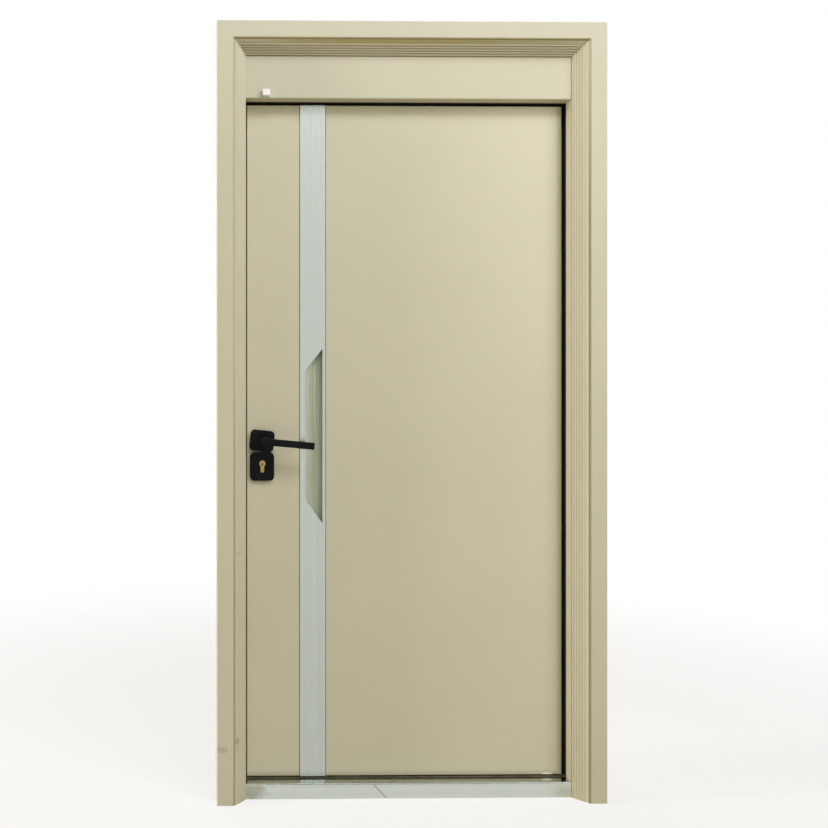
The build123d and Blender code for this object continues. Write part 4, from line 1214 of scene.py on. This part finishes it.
@dataclass
class HandleSet:
    """The levers on their spindle, the roses, the escutcheons and the bolts between them."""

    black: tuple[str, ...] = (
        "outer_rose", "inner_rose", "outer_escutcheon", "inner_escutcheon", "outer_lever", "inner_lever",
    )
    bolt_head: float = 4.5 * MM
    bolt_head_height: float = 3.0 * MM
    bolt_radius: float = 2.5 * MM
    socket_width: float = 4.6 * MM
    socket_depth: float = 1.8 * MM

    def build(self, finishes: Finishes) -> None:
        """Dresses the handles and sets their bolts.

        Args:
            finishes: the door's materials.
        """
        finishes.dress(Coat.BLACK_COATING, self.black)
        finishes.dress(Coat.ZINC_STEEL, ("spindle",))
        ScrewSet(
            "through_bolts",
            "leaf",
            Facing.INSIDE,
            Recess.HEX,
            head_radius=self.bolt_head,
            seat_radius=self.bolt_head,
            head_height=self.bolt_head_height,
            shank_radius=self.bolt_radius,
            recess_width=self.socket_width,
            recess_depth=self.socket_depth,
        ).build(finishes)


@dataclass
class LockSet:
    """The lock in the leaf's edge, its bolts and the profile cylinder."""

    steel: tuple[str, ...] = (
        "lock_case", "lock_cover", "lock_faceplate", "cylinder_screw", "lock_hub", "latch_bolt",
        "deadbolts", "bolt_carriage",
    )
    yellow: tuple[str, ...] = ("cylinder_body", "outer_plug", "cylinder_cam", "thumb_turn")
    screw_recess: float = 5.2 * MM

    def build(self, finishes: Finishes) -> None:
        """Dresses the lock, drives the faceplate's screws and winds the latch's spring.

        Args:
            finishes: the door's materials.
        """
        finishes.dress(Coat.ZINC_STEEL, self.steel)
        finishes.dress(Coat.BRASS, self.yellow)
        ScrewSet(
            "faceplate_screws", "leaf", Facing.LOCK_SIDE, Recess.CROSS, recess_width=self.screw_recess
        ).build(finishes)
        LatchSpring().build(finishes)


@dataclass
class HingeSet:
    """The three lift-off hinges with their pins, washers and screws."""

    count: int = 3
    screw_recess: float = 5.2 * MM

    def build(self, finishes: Finishes) -> None:
        """Dresses the hinges and drives their screws.

        Args:
            finishes: the door's materials.
        """
        numbers = range(1, self.count + 1)
        for side in ("frame", "leaf"):
            finishes.dress(Coat.HINGE_PAINT, (f"hinge_{side}_half_{number}" for number in numbers))
            ScrewSet(
                f"hinge_{side}_screws", side, Facing.INSIDE, Recess.CROSS, recess_width=self.screw_recess
            ).build(finishes)
        finishes.dress(Coat.ZINC_STEEL, ("hinge_pins", "hinge_washers"))


@dataclass(frozen=True)
class Lamp:
    """A large soft lamp."""

    name: str
    place: Triple
    aim: Triple
    size: Pair
    watts: float
    colour: Colour = WHITE
    mirrored: bool = True

    def hang(self) -> None:
        """Hangs the lamp at its place, facing what it lights."""
        light = bpy.data.lights.new(self.name, "AREA")
        light.shape = "RECTANGLE"
        light.size, light.size_y = self.size
        light.energy = self.watts
        light.color = self.colour
        holder = bpy.data.objects.new(self.name, light)
        holder.location = self.place
        holder.visible_glossy = self.mirrored
        toward = Vector(self.aim) - Vector(self.place)
        holder.rotation_euler = toward.to_track_quat("-Z", "Y").to_euler()
        bpy.context.scene.collection.objects.link(holder)


@dataclass
class Studio:
    """The floor, the lamps, the surroundings and the camera."""

    floor_half: float = 9.0
    floor_colour: Colour = (0.62, 0.58, 0.48)
    floor_near: float = 1.2
    floor_far: float = 3.2
    floor_share: float = 0.75
    lamps: tuple[Lamp, ...] = (
        Lamp("key_lamp", (0.95, -2.8, 4.75), (0.1, 0.0, 1.1), (4.0, 1.2), 166.0, (0.88, 0.92, 1.0)),
        Lamp("front_lamp", (3.5, -3.7, 2.9), (0.1, 0.0, 1.2), (2.2, 2.6), 103.0),
        Lamp("graze_lamp", (-6.0, -0.8, 2.2), (0.44, -0.04, 1.3), (0.4, 2.4), 300.0, mirrored=False),
        Lamp("back_lamp", (-2.6, 4.8, 3.8), (0.0, 0.0, 1.0), (8.0, 6.0), 330.0, mirrored=False),
    )
    fill_level: float = 0.1
    fill_colour: Colour = (1.0, 0.93, 0.76)
    camera_place: Triple = (-0.66, -2.5844, 1.1)
    camera_turn: float = -0.8
    lens: float = 40.55
    shift: Pair = (0.2832, -0.0239)

    def build(self) -> None:
        """Builds the whole studio."""
        self.build_floor()
        for lamp in self.lamps:
            lamp.hang()
        self.build_surroundings()
        self.build_camera()

    def build_floor(self) -> None:
        """Lays the pale floor under the door."""
        half = self.floor_half
        corners = [(-half, -half, 0.0), (half, -half, 0.0), (half, half, 0.0), (-half, half, 0.0)]
        mesh = bpy.data.meshes.new("floor")
        mesh.from_pydata(corners, [], [range(len(corners))])
        floor = bpy.data.objects.new("floor", mesh)
        bpy.context.scene.collection.objects.link(floor)
        material = bpy.data.materials.new("floor_white")
        material.use_nodes = True
        board = NodeBoard(material.node_tree)
        away = board.measure("LENGTH", board.add("ShaderNodeTexCoord").outputs["Object"])
        fade = board.remap(away, (self.floor_near, self.floor_far), (self.floor_share, 1.0))
        lit = board.add("ShaderNodeBsdfDiffuse", {"Color": opaque(self.floor_colour)}).outputs[0]
        white = board.add("ShaderNodeEmission", {"Color": opaque(WHITE)}).outputs[0]
        share = board.math("MULTIPLY", self.seen(board), fade)
        mixed = board.add("ShaderNodeMixShader", {0: share, 1: lit, 2: white})
        surface = board.add("ShaderNodeOutputMaterial")
        board.feed(surface.inputs["Surface"], mixed.outputs[0])
        mesh.materials.append(material)

    @staticmethod
    def seen(board: NodeBoard) -> Output:
        """One where a surface is seen, mirrored or looked through, and zero where it only lights others."""
        path = board.add("ShaderNodeLightPath")
        result = path.outputs["Is Camera Ray"]
        for name in ("Is Glossy Ray", "Is Transmission Ray"):
            result = board.math("MAXIMUM", result, path.outputs[name])
        return result

    def build_surroundings(self) -> None:
        """Sets the even light all round, which is white where it is seen or mirrored."""
        world = bpy.data.worlds.new("studio")
        world.use_nodes = True
        bpy.context.scene.world = world
        board = NodeBoard(world.node_tree)
        seen = self.seen(board)
        inputs = {"Value": seen, "To Min": self.fill_level, "To Max": 1.0}
        level = board.add("ShaderNodeMapRange", inputs).outputs[0]
        colour = board.blend(seen, opaque(self.fill_colour), opaque(WHITE))
        light = board.add("ShaderNodeBackground", {"Color": colour, "Strength": level})
        surface = board.add("ShaderNodeOutputWorld")
        board.feed(surface.inputs["Surface"], light.outputs[0])

    def build_camera(self) -> None:
        """Sets the camera where the photograph was taken from."""
        camera = bpy.data.cameras.new("camera")
        camera.lens = self.lens
        camera.shift_x, camera.shift_y = self.shift
        holder = bpy.data.objects.new("camera", camera)
        holder.location = self.camera_place
        holder.rotation_euler = (QUARTER_TURN, 0.0, math.radians(self.camera_turn))
        bpy.context.scene.collection.objects.link(holder)
        bpy.context.scene.camera = holder
        bpy.context.scene.view_settings.view_transform = "Standard"


def main() -> None:
    """Builds the studio and dresses the door."""
    logging.basicConfig(level=logging.INFO, format="%(name)s: %(message)s")
    Studio().build()
    finishes = Finishes()
    for part in (FrameSet(), Leaf(), HandleSet(), LockSet(), HingeSet()):
        LOG.info("building %s", type(part).__name__)
        part.build(finishes)


if __name__ == "__main__":
    main()
